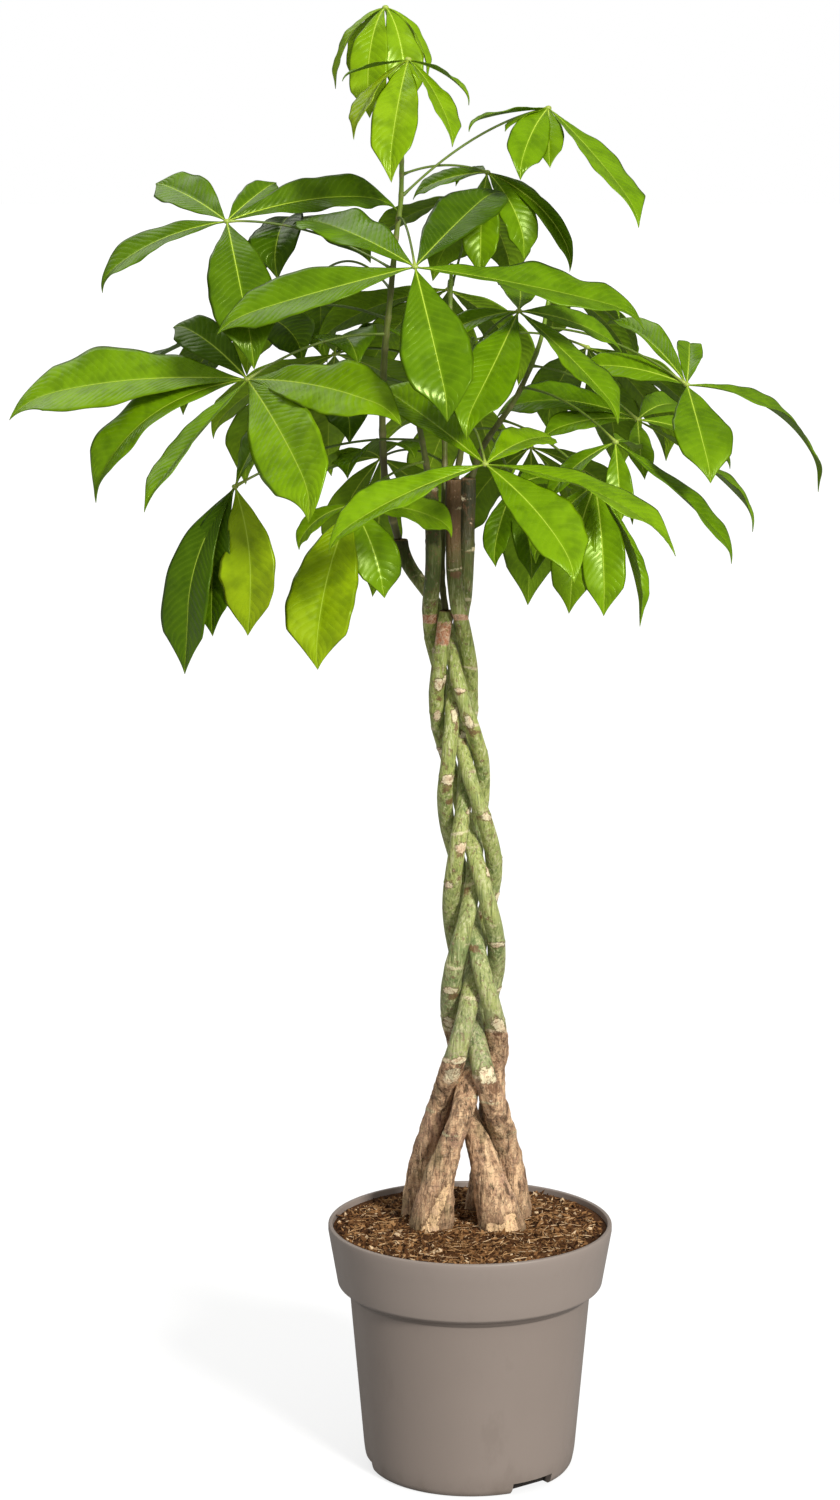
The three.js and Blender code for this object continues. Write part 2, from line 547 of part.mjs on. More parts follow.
// The midrib of a leaflet: it leaves the hub in the leaf's plane and bends down under its weight.
// Gives the point, the side direction and the upward normal at each of LEAFLET_INTEGRATION steps.
function leafletMidrib(leaf, [turn, length, droop], roll) {
  const lean = new THREE.Vector3(Math.cos(leaf.face[0] * DEG), Math.sin(leaf.face[0] * DEG), 0);
  const hinge = new THREE.Vector3(-lean.y, lean.x, 0);
  const normal = new THREE.Vector3(0, 0, 1).applyAxisAngle(hinge, leaf.face[1] * DEG);
  const flat = new THREE.Vector3(Math.cos(turn * DEG), Math.sin(turn * DEG), 0);
  flat.applyAxisAngle(hinge, leaf.face[1] * DEG);
  const lift = leaf.lift * DEG;
  const start = flat.clone().multiplyScalar(Math.cos(lift)).addScaledVector(normal, Math.sin(lift));
  const above = normal.clone().multiplyScalar(Math.cos(lift)).addScaledVector(flat, -Math.sin(lift));
  const side = above.clone().cross(start).multiplyScalar(Math.cos(roll * DEG));
  side.addScaledVector(above, Math.sin(roll * DEG));
  const rise = Math.asin(start.z);
  const outward = new THREE.Vector3(start.x, start.y, 0).normalize();
  const level = new THREE.Vector3(-outward.y, outward.x, 0);
  const inPlane = (high, far) => new THREE.Vector3(0, 0, high).addScaledVector(outward, far);
  const upright = (angle) => inPlane(Math.cos(angle), -Math.sin(angle));
  const ahead = (angle) => inPlane(Math.sin(angle), Math.cos(angle));
  const sideLevel = side.dot(level);
  const sideUpright = side.dot(upright(rise));
  const bend = leaf.bend ?? DROOP_POWER;
  const angleAt = (t) => Math.max(rise - droop * DEG * t ** bend, Math.min(rise, STEEPEST * DEG));
  const point = new THREE.Vector3(...leaf.hub);
  const steps = [];
  for (let i = 0; i <= LEAFLET_INTEGRATION; i++) {
    const angle = angleAt(i / LEAFLET_INTEGRATION);
    const across = level.clone().multiplyScalar(sideLevel).addScaledVector(upright(angle), sideUpright);
    steps.push({ point: point.clone(), side: across, up: ahead(angle).cross(across) });
    const next = angleAt((i + 0.5) / LEAFLET_INTEGRATION);
    point.addScaledVector(ahead(next), length / LEAFLET_INTEGRATION);
  }
  return steps;
}

function makeLeaflet(leaf, leaflet, roll) {
  const steps = leafletMidrib(leaf, leaflet, roll);
  const length = leaflet[1];
  const width = leaflet[4] ?? 1;
  const rings = [];
  for (const t of LEAFLET_STATIONS) {
    const { point, side, up } = steps[Math.round(t * LEAFLET_INTEGRATION)];
    if (t === 1) {
      rings.push([point]);
      continue;
    }
    const half = Math.max(LEAFLET_ROOT, (leafletShape(t) * length * LEAFLET_WIDTH * width) / 2);
    const thick = (LEAFLET_THICKNESS * (1 - LEAFLET_THINNING * t)) / 2;
    const out = half * Math.cos(LEAFLET_FOLD * DEG);
    const high = half * Math.sin(LEAFLET_FOLD * DEG);
    rings.push([
      point.clone().addScaledVector(side, out).addScaledVector(up, high),
      point.clone().addScaledVector(up, thick),
      point.clone().addScaledVector(side, -out).addScaledVector(up, high),
      point.clone().addScaledVector(up, -thick),
    ]);
  }
  return toSolid(skin(rings, [false, true, false, true]));
}

function petioleLine(leaf, shoot, reach) {
  const curve = shootCurve(shoot).getPoints(shoot.steps * SEAT_PLACES);
  const root = curve.reduce((a, b) => (Math.abs(b.z - leaf.at) < Math.abs(a.z - leaf.at) ? b : a));
  const hub = new THREE.Vector3(...leaf.hub);
  const outward = new THREE.Vector3(hub.x - root.x, hub.y - root.y, 0).normalize();
  const start = root.clone().addScaledVector(outward, reach);
  const chord = hub.clone().sub(start);
  const crown = start.clone().addScaledVector(chord, 0.5);
  crown.z += PETIOLE_RISE * chord.length();
  return new THREE.QuadraticBezierCurve3(start, crown, hub).getPoints(PETIOLE_STEPS);
}

// The petiole, drawn in towards the middle of its shoot until its root lies SEAT_GAP off it.
function makePetiole(leaf) {
  const shoot = SHOOTS.find((s) => s.name === leaf.shoot);
  const seat = shootSolid(shoot);
  let reach = shoot.radii[0] + PETIOLE_RADIUS;
  let petiole = null;
  for (let i = 0; i < SEAT_ROUNDS; i++) {
    const line = petioleLine(leaf, shoot, reach);
    petiole = toSolid(stem(line, line.map(() => PETIOLE_RADIUS), PETIOLE_SIDES));
    reach += SEAT_GAP - petiole.minGap(seat, SEAT_SEARCH);
  }
  return petiole;
}

function makeLeaf(leaf, number) {
  let solid = makePetiole(leaf);
  const hub = new THREE.OctahedronGeometry(HUB_RADIUS, 0);
  hub.translate(...leaf.hub);
  solid = solid.add(toSolid(hub));
  leaf.leaflets.forEach((leaflet, place) => {
    const roll = leaflet[3] ?? LEAFLET_ROLL * Math.sin(ROLL_BY_LEAF * number + ROLL_BY_LEAFLET * place);
    solid = solid.add(makeLeaflet(leaf, leaflet, roll));
  });
  return toMesh(leaf.name, solid, leafFinish);
}

// ---------- the whole plant ----------

const group = new THREE.Group();
group.add(makePot());
group.add(makeSoil());
for (const trunk of TRUNKS) group.add(makeTrunk(trunk));
for (const shoot of SHOOTS) group.add(toMesh(shoot.name, shootSolid(shoot), shootFinish));
LEAVES.forEach((leaf, number) => group.add(makeLeaf(leaf, number)));

export default group;
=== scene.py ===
# Looks of the potted money tree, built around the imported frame.
# Metres, +Z up, the front of the plant along -Y, the origin in the middle of the pot's foot.
# Tables and formulas of the plant's form are in millimetres and degrees and are scaled when a mesh is made.
import math

import bpy
import numpy as np
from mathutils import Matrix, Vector, noise


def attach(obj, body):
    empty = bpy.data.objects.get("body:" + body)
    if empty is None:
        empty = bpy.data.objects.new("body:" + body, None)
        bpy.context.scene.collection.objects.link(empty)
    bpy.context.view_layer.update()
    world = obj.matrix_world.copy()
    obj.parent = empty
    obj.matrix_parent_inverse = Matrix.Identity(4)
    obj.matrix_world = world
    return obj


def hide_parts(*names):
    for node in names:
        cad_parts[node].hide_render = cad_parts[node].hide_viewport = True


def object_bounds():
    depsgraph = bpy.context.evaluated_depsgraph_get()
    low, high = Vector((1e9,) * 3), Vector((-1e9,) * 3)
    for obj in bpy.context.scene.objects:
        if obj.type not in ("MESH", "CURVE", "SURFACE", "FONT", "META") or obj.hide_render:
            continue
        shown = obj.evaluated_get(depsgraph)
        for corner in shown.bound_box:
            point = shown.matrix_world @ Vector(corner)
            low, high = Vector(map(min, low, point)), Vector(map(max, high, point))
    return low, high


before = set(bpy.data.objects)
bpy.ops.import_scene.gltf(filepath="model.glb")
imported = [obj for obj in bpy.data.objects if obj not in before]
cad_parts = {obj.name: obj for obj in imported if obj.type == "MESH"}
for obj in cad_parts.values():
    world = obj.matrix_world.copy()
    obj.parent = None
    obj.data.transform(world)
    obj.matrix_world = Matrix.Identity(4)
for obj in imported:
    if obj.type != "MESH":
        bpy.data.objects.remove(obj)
CAD_BOX = [list(corner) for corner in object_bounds()]

MM = 0.001
DEG = math.pi / 180
TURN = 2 * math.pi
UP = np.array([0.0, 0.0, 1.0])
SEED = 41  # each piece adds a number of its own

# ---------- camera, light and floor ----------

CAMERA_PLACE = (-0.0476, -3.3, 1.262)
CAMERA_DOWN = 9.76
FOCAL_PIXELS = 3596
PHOTO_HEIGHT = 1500
SENSOR = 36.0
FAR_CLIP = 100
FLOOR_SIZE = 60.0
FLOOR_GREY = 0.30
FLOOR_GLOW = 0.72  # added where the camera sees the floor
ROOM_LIGHT = 0.70
ROOM_GLOSS = 0.08
BACKDROP_LIGHT = 1.0
# Name, place, strength, angle across and colour of each distant light.
SUNS = (
    ("key", (1.35, -2.3, 1.43), 3.65, 12, (1.0, 0.985, 0.955)),
    ("back", (-1.4, 2.2, 2.4), 0.5, 40, (1.0, 1.0, 0.97)),
)

# ---------- form of the pot ----------

POT_HEIGHT = 239
RIM_RADIUS = 135
RIM_ROLL = 3
LIP_BACK = 4.2
BAND_FOOT = (126, 181)  # radius and height, as in the next three
BEVEL_FOOT = (114.8, 173.4)
BODY_TOP = (114, 169)
BODY_FOOT = (101, 16)
FOOT_CHAMFER = (3.5, 4)
FOOT_RADIUS = 95
WALL = 2.2
FLOOR_THICKNESS = 3
FLOOR_LIFT = 6
CENTRE_DISC_RADIUS = 34
FOOT_RING_RADIUS = 84
FLOOR_SLOPE = 5
NOTCH_WIDTH = 46
NOTCH_HEIGHT = 11
NOTCH_CUT = 60
NOTCH_MIDDLE = 30
NOTCH_FACE = FOOT_RING_RADIUS + NOTCH_MIDDLE - NOTCH_CUT / 2
NOTCH_TURNS = (-53, 67, 187)
DRAIN_RADIUS = 6
DRAIN_CIRCLE_RADIUS = 60
DRAIN_COUNT = 6
DRAIN_SIDES = 28
DRAIN_CUT = 40
POT_SIDES = 144
POT_RING_SPACING = 12
POT_CREASE = 38  # edges sharper than this stay crisp
ROUNDING_STEPS = 5

# ---------- form of the soil ----------

SOIL_EDGE_Z = 233.5
SOIL_CENTRE_Z = 237
SOIL_BUMP = 1.1
SOIL_BUMPS = ((3, 0.09, 0), (5, -0.13, 1))  # lobes, twist and start
SOIL_OUTER_RING = 118
SOIL_EDGE_RADIUS = 130
SOIL_INNER_RADIUS = 1.5
SOIL_GAP = 0.4
SOIL_SIDES = 180
SOIL_TOP_RINGS = 56
SOIL_CREASE = 60
SOIL_STEP = 0.05  # height of the step over the notch housings
HOUSING_ROOM = 4  # beside each housing
SOIL_CLODS = ((11, 3.0, 2.2), (3.8, 9.0, 1.5))  # size, place in the noise and height
CALM_EDGE = 4
HOLLOW_RADIUS = 17  # the gap round each foot
HOLLOW_DEPTH = 3.2
HOLLOW_SPAN = 3.5
CRUMBS = 5600
CRUMB_MARGIN = 4.5
CRUMB_SIZES = (0.8, 3.0, 2.6)  # smallest, range, and power that favours small ones
CRUMB_STRETCH = ((0.8, 2.1), (0.5, 1.0), (0.35, 0.8))
FLECKS_FROM = 0.94  # of the crumbs, those above this share are pale
FIBRES = 1900
FIBRE_MARGIN = 12
FIBRE_LENGTHS = (5, 17)
FIBRE_RADII = (0.2, 0.62)
ROOT_PATH = ((-52, -46, 231), (-66, -58, 229.5), (-82, -60, 228.4), (-96, -50, 226.8))
ROOT_RADII = (1.5, 0.5)
ROOT_STEPS = 26

# ---------- form of the trunks ----------

TRUNK_FOOT_Z = 168
BRAID_FOOT_Z = 345
JOIN_Z = 385
JOIN_STEP = 20
BRAID_TOP_Z = 826
BRAID_PERIOD = 450
BRAID_SETTLE = 50
# How far the strands of the grown braid swing out, at each height, next to their thickness.
BRAID_ROOM = ((345, 1.16), (450, 1.22), (600, 1.20), (720, 1.10), (826, 1.10))
BRAID_SQUARENESS = 0.1
BRAID_GAP = 0.4
TOP_BEND_Z = 812
TRUNK_RADII = ((168, 15), (225, 18), (240, 17), (283, 14), (320, 12), (352, 10.3), (385, 9.3), (400, 9.2),
               (826, 7.3), (960, 7))
BRAID_MIDDLE = ((345, 0), (400, 2.5), (455, 2.8), (571, 1.6), (685, -8.5), (751, -17), (826, -22))
# How thick a grown trunk is beside its plain solid: feet flare, and strands in the braid are drawn in.
STRAND_SWELL = ((168, 1.10), (250, 1.14), (300, 1.15), (345, 1.15), (400, 1.11), (450, 1.04), (540, 0.96),
                (640, 0.90), (800, 0.91), (830, 1.0))
# Where the two middle feet draw together they are slimmer than the outer ones.
SLIM_FEET = ("trunk_left_inner", "trunk_right_inner")
SLIM_LEVEL = 330
SLIM_SPAN = 42
SLIMNESS = 0.13
FOOT_FLARE = {"trunk_left_inner": 0.12, "trunk_right_inner": 0.14}
FLARE_TOP = 300
FLARE_SPAN = 60
TRUNK_STEP = 1.6
TRUNK_SIDES = 52
# Name, place in the braid, the middle of the foot as (height, x, y) from the bottom up, and the cut top.
TRUNKS = (
    ("trunk_left_outer", 162,
     ((168, -47, 31), (225, -46.5, 30), (283, -43.5, 26), (320, -36.5, 20), (352, -28, 12)), (-38, -14, 951)),
    ("trunk_left_inner", 234,
     ((168, -38, -7), (225, -37.5, -7), (283, -29.5, -11), (320, -19, -16), (352, -8, -19.5)),
     (-23, -4, 826)),
    ("trunk_right_inner", 90,
     ((168, 33, -8), (225, 32, -8), (283, 19, -9), (320, 7, -5), (352, -5.5, 6)), (-66, 34, 888)),
    ("trunk_right_outer", 18,
     ((168, 42, 31), (225, 41, 30), (283, 36.5, 18), (320, 31, 7), (352, 24, -13)), (-17, -10, 948)),
    ("trunk_back", 306,
     ((168, 14, 56), (225, 14, 55), (283, 18, 44), (320, 20, 34), (352, 22, 24)), (-3, 14, 947)),
)
# Scars where leaves once grew: height, turn, width and height of the patch.
SCARS = {
    "trunk_left_outer": ((635, -59, 10, 6), (551, -10, 12, 8), (404, -60, 14, 7), (709, -50, 7, 6)),
    "trunk_left_inner": ((759, -80, 7, 12), (728, -84, 6, 8), (512, -78, 15, 5), (462, -30, 9, 4),
                         (691, -120, 8, 7)),
    "trunk_right_inner": ((468, -96, 14, 7), (433, -110, 9, 10), (754, -105, 10, 3), (725, -100, 6, 12)),
    "trunk_right_outer": ((570, -118, 7, 6), (607, -60, 10, 8), (390, -72, 18, 13), (640, -30, 7, 5)),
    "trunk_back": ((730, -70, 6, 12), (670, -77, 11, 9), (437, -75, 12, 12), (540, -100, 8, 8)),
}
# Rings of orange bark round a trunk: height, and how tall the ring is.
RINGS = {"trunk_left_outer": ((818, 10),), "trunk_left_inner": ((806, 22),), "trunk_right_outer": ((822, 6),)}
# Patches where the bark of a foot has peeled: height, turn, width and height, and its sideways drift.
PEELS = {
    "trunk_left_inner": ((258, -84, 10, 46, 7), (238, -98, 18, 12, 0)),
    "trunk_right_inner": ((241, -100, 22, 8, 0), (246, -62, 12, 16, 2)),
    "trunk_right_outer": ((246, -78, 9, 16, 0),),
    "trunk_left_outer": ((388, -80, 14, 14, 0),),
}
SPOT_EDGE = 0.55
# Height where green stem turns to brown bark, and how reddish and how dark the trunk is above the braid.
BARK_TOP = {"trunk_left_outer": 404, "trunk_left_inner": 392, "trunk_right_inner": 424,
            "trunk_right_outer": 388, "trunk_back": 430}
UPPER_TINT = {"trunk_left_outer": (0, 0.25), "trunk_left_inner": (0, 0), "trunk_right_inner": (0, 0.95),
              "trunk_right_outer": (0.85, 0), "trunk_back": (0, 0.9)}
# Nodes up a trunk: at each it swells, bends a little and has a pale ring, and scars sit on some.
NODE_SPACING = (22, 58)
FOOT_NODES = (60, 26)  # how far below the bark's top the two lowest are
NODE_FREE_TOP = 20
NODE_KINK = 0.9
STRAIGHT_TOP = 30
NODE_TURN = (110, 220)  # from one node's side to the next
NODE_LEAN = 2.5
NODE_STRENGTH = (0.45, 1.1)
NODE_THICKNESS = (1.4, 2.6)
RIDGE_THICKNESS = 2.6
SWELLING_THICKNESS = 9
BLOTCH_CHANCE = 0.55
BLOTCH_SIZES = ((3, 7), (7, 15), (6, 12), (0.6, 1.0))  # drop below the node, width, height and strength
SCAR_SIZES = ((6, 12), (4, 8))
BRAID_SCAR_Z = 410  # no scars of chance below this
SCAR_FREE_TURN = 70  # nor this near the front
RELIEF = (0.16, 0.75, 0.30, -0.25)  # how far lumps, ridges, scars and rings stand out
BARK_FADE = 12  # from green to brown
FURROW_WIDTH = 6
FURROWS = ((1.0, 17, 1.8), (2.6, 6, 1.0))  # how much finer round the trunk, height and depth
BARK_RELIEF = (0.85, 0.3)  # share of the furrows, and more of the lumps
CUT_EDGE = 0.9  # the sawn edge is rounded by this
CUT_FACE = ((0.86, -0.1), (0.80, -0.6), (0.55, -0.9), (0.25, -0.9))  # share of the radius, and height

# ---------- form of the shoots ----------

SHOOT_SIDES = 16
SHOOT_STEP = 3.0
SHOOT_SLIMNESS = 0.88
SHOOT_SINK = 0.45  # into the cut top below
SHOOT_SWELL = 0.16
SHOOT_MARKS = (15, 26)  # from one ring to the next
SHOOT_MARK_ROOM = 9
SHOOT_BARE = (18, 12)  # without rings at the foot and at the tip
# Radii at the foot and the tip, and the line.
SHOOTS = {
    "shoot_leader": ((4, 2), ((-68, 33, 888.5), (-78, 20, 930), (-82, 0, 992), (-80, -6, 1061),
                              (-75, -8, 1110), (-69, -8, 1170), (-65, -8, 1200), (-64, -8, 1250),
                              (-63, -8, 1292))),
    "shoot_left": ((3.5, 2), ((-40, -15, 951.5), (-44, -22, 975), (-52, -40, 1020), (-58, -52, 1070))),
    "shoot_front": ((3.5, 2), ((-15, -12, 948.5), (-10, -22, 975), (-4, -45, 1020), (0, -58, 1080))),
    "shoot_right": ((3.5, 2), ((0, 12, 947.5), (10, 12, 975), (40, 12, 1020), (62, 14, 1070),
                               (70, 16, 1110))),
    "shoot_back": ((3.5, 2), ((-24, 0, 826.5), (-27, 7, 850), (-25, 16, 945), (-24, 50, 1010),
                              (-20, 90, 1080), (-18, 100, 1140))),
}

# ---------- form of the leaves ----------

PETIOLE_RISE = 0.16
PETIOLE_SIDES = 10
PETIOLE_STEPS = 34
PETIOLE_PLACES = 240
PETIOLE_RADIUS = 1.15
PETIOLE_SWELLS = ((0, 0.05, 0.9), (1, 0.035, 0.75))  # place, span and how much thicker
HUB_SIZE = 3.1
HUB_FLATNESS = 0.75
HUB_ROWS = 9
HUB_SIDES = 14
HUB_END = 80
LEAFLET_WIDTH = 0.33
LEAFLET_FOLD = 12
LEAFLET_ROLL = 10
LEAFLET_RISE = 1.3
LEAFLET_FALL = 0.8
TIP_START = 0.8
TIP_SLIMMING = 0.3
TIP_POWER = 1.5
TIP_DRAWN = (0.55, 0.9)  # the grown tip is slimmer than the solid's by this share and power
DROOP_POWER = 1.3
DROOP_POWERS = {"leaf_top_young": 0.6}
STEEPEST = -88
ROLL_BY_LEAF = 1.7
ROLL_BY_LEAFLET = 2.3
ROW_LENGTH = 1.9
ROW_LIMITS = (28, 110)
COLUMNS = np.array([1, 0.88, 0.7, 0.5, 0.3, 0.11, 0, -0.11, -0.3, -0.5, -0.7, -0.88, -1])
VEIN_SPACING = 7.6
VEIN_SLANT = (0.105, 0.04)
VEIN_STAGGER = 0.22  # between the two halves
FOLD_BY_NARROWNESS = 60
TIP_CURL = (10, 60)
CURL_START = 0.78
CURL_SPAN = 0.22
SWAY = 0.022
TWIST = 9
HOOK = 0.035
HOOK_START = 0.72
HOOK_SPAN = 0.28
PUCKER = (0.20, 0.52)  # of an old leaflet, and how much more of a young one
PUCKER_LENGTH = 140
BOW = (0.75, 1.1)
WAVES = ((1.4, 3.0), (4.5, 8.0))  # long and short waves of the edge, in waves for each leaflet
WAVE_HEIGHT = (0.05, 0.12)
FINE_WAVE = 0.020
MARGIN_DRIFT = (-0.06, 0.04)
MARGIN_WAVES = (0.022, 0.010)
BLADE_THICKNESS = 0.40
RIB = (1.15, 0.75)  # half width and height of the midrib below, and of its groove above
GROOVE = (0.8, 0.18)
TONE_SPREAD = 0.07
YELLOW_SPREAD = 0.15
# Name, shoot, height on it, hub, lean of the upper face, lift, youth (0 old and dark, 1 young and bright),
# and each leaflet's turn, length, droop and, where they are given, roll, width, how much younger its tone is
# and how yellow it is. The youths and tone shifts are partly painted light and shade: they also brighten or
# darken single leaves and leaflets to set how lit or shaded they look.
LEAVES = (
    ("leaf_top_young", "shoot_leader", 1284, (-79, 35, 1373), (-90, 10), -8, 0.9,
     ((-108, 115, 78), (-62, 105, 78), (175, 92, 80), (-5, 80, 80), (65, 95, 78), (120, 95, 78))),
    ("leaf_top_front", "shoot_leader", 1268, (-58, -45, 1325), (-90, 30), 0, 0.84,
     ((-99, 148, 40, -5, 0.85), (-128, 105, 45, 35, 1, 0.1, 0.6), (-165, 65, 15, 35, 1, -0.2),
      (-64, 115, 35, -35), (-25, 75, 45, -40))),
    ("leaf_top_right", "shoot_leader", 1205, (69, 20, 1283), (-60, 30), 0, 0.74,
     ((-145, 95, 15, 35), (-105, 110, 30), (-88, 84, 30), (-54, 170, 15, -14), (-128, 66, 15, 40))),
    ("leaf_upper_left", "shoot_leader", 1140, (-222, -20, 1182), (-110, 30), 0, 0.46,
     ((120, 135, 10), (60, 90, 15), (176, 140, 42), (-80, 182, 42), (24, 170, 34, 14, 0.9))),
    ("leaf_front_high", "shoot_leader", 1185, (-52, -150, 1146), (-90, 40), -12, 0.54,
     ((184, 186, 10), (125, 185, 20), (65, 185, 5, -9.2, 1, -0.22), (0, 215, 6, -20),
      (-76, 152, 15, 0, 1.25))),
    ("leaf_left_long", "shoot_leader", 1080, (-202, -70, 1043), (-120, 50), 12, 0.72,
     ((158, 238, 20, 12), (170, 195, 72, 8, 0.88), (-132, 165, 8, 22, 0.85), (-70, 205, 25, 3, 1, 0.14),
      (-35, 190, 25), (110, 120, 35, 9.1, 1, -0.3))),
    ("leaf_left_hanging", "shoot_left", 985, (-213, -90, 949), (-120, 60), -5, 0.55,
     ((-137, 138, 60, 0, 1.2, -0.3), (-150, 180, 60, 4, 1, -0.22, 0.1), (-92, 138, 60, 0, 1.2, 0.34, 0.6),
      (60, 100, 40))),
    ("leaf_front_low", "shoot_front", 1000, (9, -190, 978), (-90, 30), 0, 0.81,
     ((-155, 165, 25, 0, 0.85), (125, 170, 5, 0, 0.8), (55, 105, 35, 0, 1.25), (-10, 190, 42, -22),
      (-55, 155, 25, 0, 1.1))),
    ("leaf_right_long", "shoot_right", 1085, (195, -20, 1035), (-70, 30), 0, 0.64,
     ((160, 105, 25, -20), (115, 160, 25, 0, 0.6), (88, 100, 15, 0, 0.8), (-80, 130, 15, 0, 1.3),
      (12, 180, 75, -15))),
    ("leaf_front_middle", "shoot_front", 1070, (40, -90, 1105), (-70, 30), -12, 0.63,
     ((-106, 162, 5), (-35, 140, 15), (25, 120, 25), (-165, 90, 30), (90, 130, 20))),
    ("leaf_upper_right", "shoot_leader", 1225, (14, 40, 1225), (-90, 30), -12, 0.53,
     ((162, 80, 35), (-95, 110, 40, 4.4, 1, 0.1), (-50, 95, 60, 0, 1.2, 0.1), (-5, 80, 50, -28),
      (-30, 128, 48, 40, 0.4), (120, 60, 60))),
    ("leaf_left_low", "shoot_left", 965, (-109, -60, 929), (-100, 40), -12, 0.82,
     ((-110, 160, 25, 0, 1.25, 0, 0.62), (-62, 94, 50, 0, 1.5, -0.2), (175, 70, 60), (10, 105, 42, 0, 1.3))),
    ("leaf_right_low", "shoot_right", 1030, (128, -70, 987), (-80, 30), -25, 0.6,
     ((-80, 75, 25), (-20, 155, 15, -22), (-160, 85, 35), (70, 80, 30))),
    ("leaf_right_behind", "shoot_right", 1050, (156, 70, 996), (-60, 30), 0, 0.6,
     ((-85, 80, 25), (-30, 160, 25, -35), (165, 140, 42, 0, 1.3), (-168, 100, 40, 0, 1.1), (65, 130, 45),
      (20, 115, 45))),
    ("leaf_right_under", "shoot_right", 1000, (112, -30, 945), (-80, 30), -25, 0.72,
     ((-108, 125, 45), (-80, 125, 35), (-56, 140, 32, -45, 0.45), (-150, 95, 40))),
    ("leaf_centre_under", "shoot_right", 985, (40, 45, 934), (-80, 30), -10, 0.5,
     ((-70, 95, 50), (-110, 85, 50), (-10, 100, 45), (60, 120, 45))),
    ("leaf_centre_left", "shoot_leader", 1040, (-125, 40, 1028), (180, 20), 0, 0.36,
     ((-80, 112, 60, 0, 1.15), (-160, 100, 40), (140, 150, 40), (20, 85, 55))),
    ("leaf_left_behind", "shoot_leader", 1095, (-205, 90, 1090), (160, 20), 0, 0.22,
     ((-172, 130, 15), (-110, 110, 45), (125, 170, 45), (70, 150, 45))),
    ("leaf_upper_left_behind", "shoot_leader", 1155, (-163, 70, 1183), (140, 15), 0, 0.2,
     ((-100, 118, 85, 0, 1.35), (115, 130, 35), (60, 140, 35))),
    ("leaf_back_left", "shoot_back", 1040, (-130, 190, 1050), (120, 30), 0, 0.55,
     ((180, 150, 40), (140, 185, 45), (98, 185, 40), (52, 160, 35), (-78, 150, 62, 0, 1.2),
      (-48, 150, 62, 0, 1.2))),
    ("leaf_back_middle", "shoot_back", 1110, (-20, 240, 1110), (90, 30), 0, 0.55,
     ((170, 150, 40), (130, 180, 45), (88, 190, 45), (48, 150, 45))),
    ("leaf_back_right", "shoot_back", 1060, (115, 215, 1055), (60, 30), 0, 0.5,
     ((105, 150, 40), (70, 180, 45), (38, 160, 45), (0, 130, 40))),
    ("leaf_back_high", "shoot_back", 1120, (10, 130, 1200), (70, 15), 0, 0.56,
     ((150, 130, 40), (106, 170, 35), (74, 160, 40), (8, 62, 45))),
    ("leaf_back_low_left", "shoot_back", 960, (-85, 130, 955), (110, 40), -10, 0.52,
     ((140, 115, 45), (100, 155, 45), (50, 135, 45), (-138, 115, 45), (-105, 110, 60, 0, 1.3),
      (-70, 100, 55))),
    ("leaf_back_low_right", "shoot_back", 980, (60, 190, 960), (75, 40), -10, 0.52,
     ((130, 140, 45), (85, 180, 45), (40, 160, 45), (-5, 130, 45))),
    ("leaf_back_far", "shoot_back", 1020, (2, 290, 1005), (90, 35), 0, 0.6,
     ((158, 110, 40), (115, 155, 45), (72, 150, 45))),
    ("leaf_back_left_high", "shoot_leader", 1120, (-140, 185, 1130), (125, 25), 0, 0.58,
     ((175, 130, 40), (135, 160, 40), (95, 150, 40))),
    ("leaf_back_right_high", "shoot_right", 1100, (95, 140, 1110), (50, 30), 0, 0.52,
     ((100, 85, 35), (35, 110, 35), (-5, 95, 60), (-50, 75, 45))),
)

# ---------- mesh helpers ----------


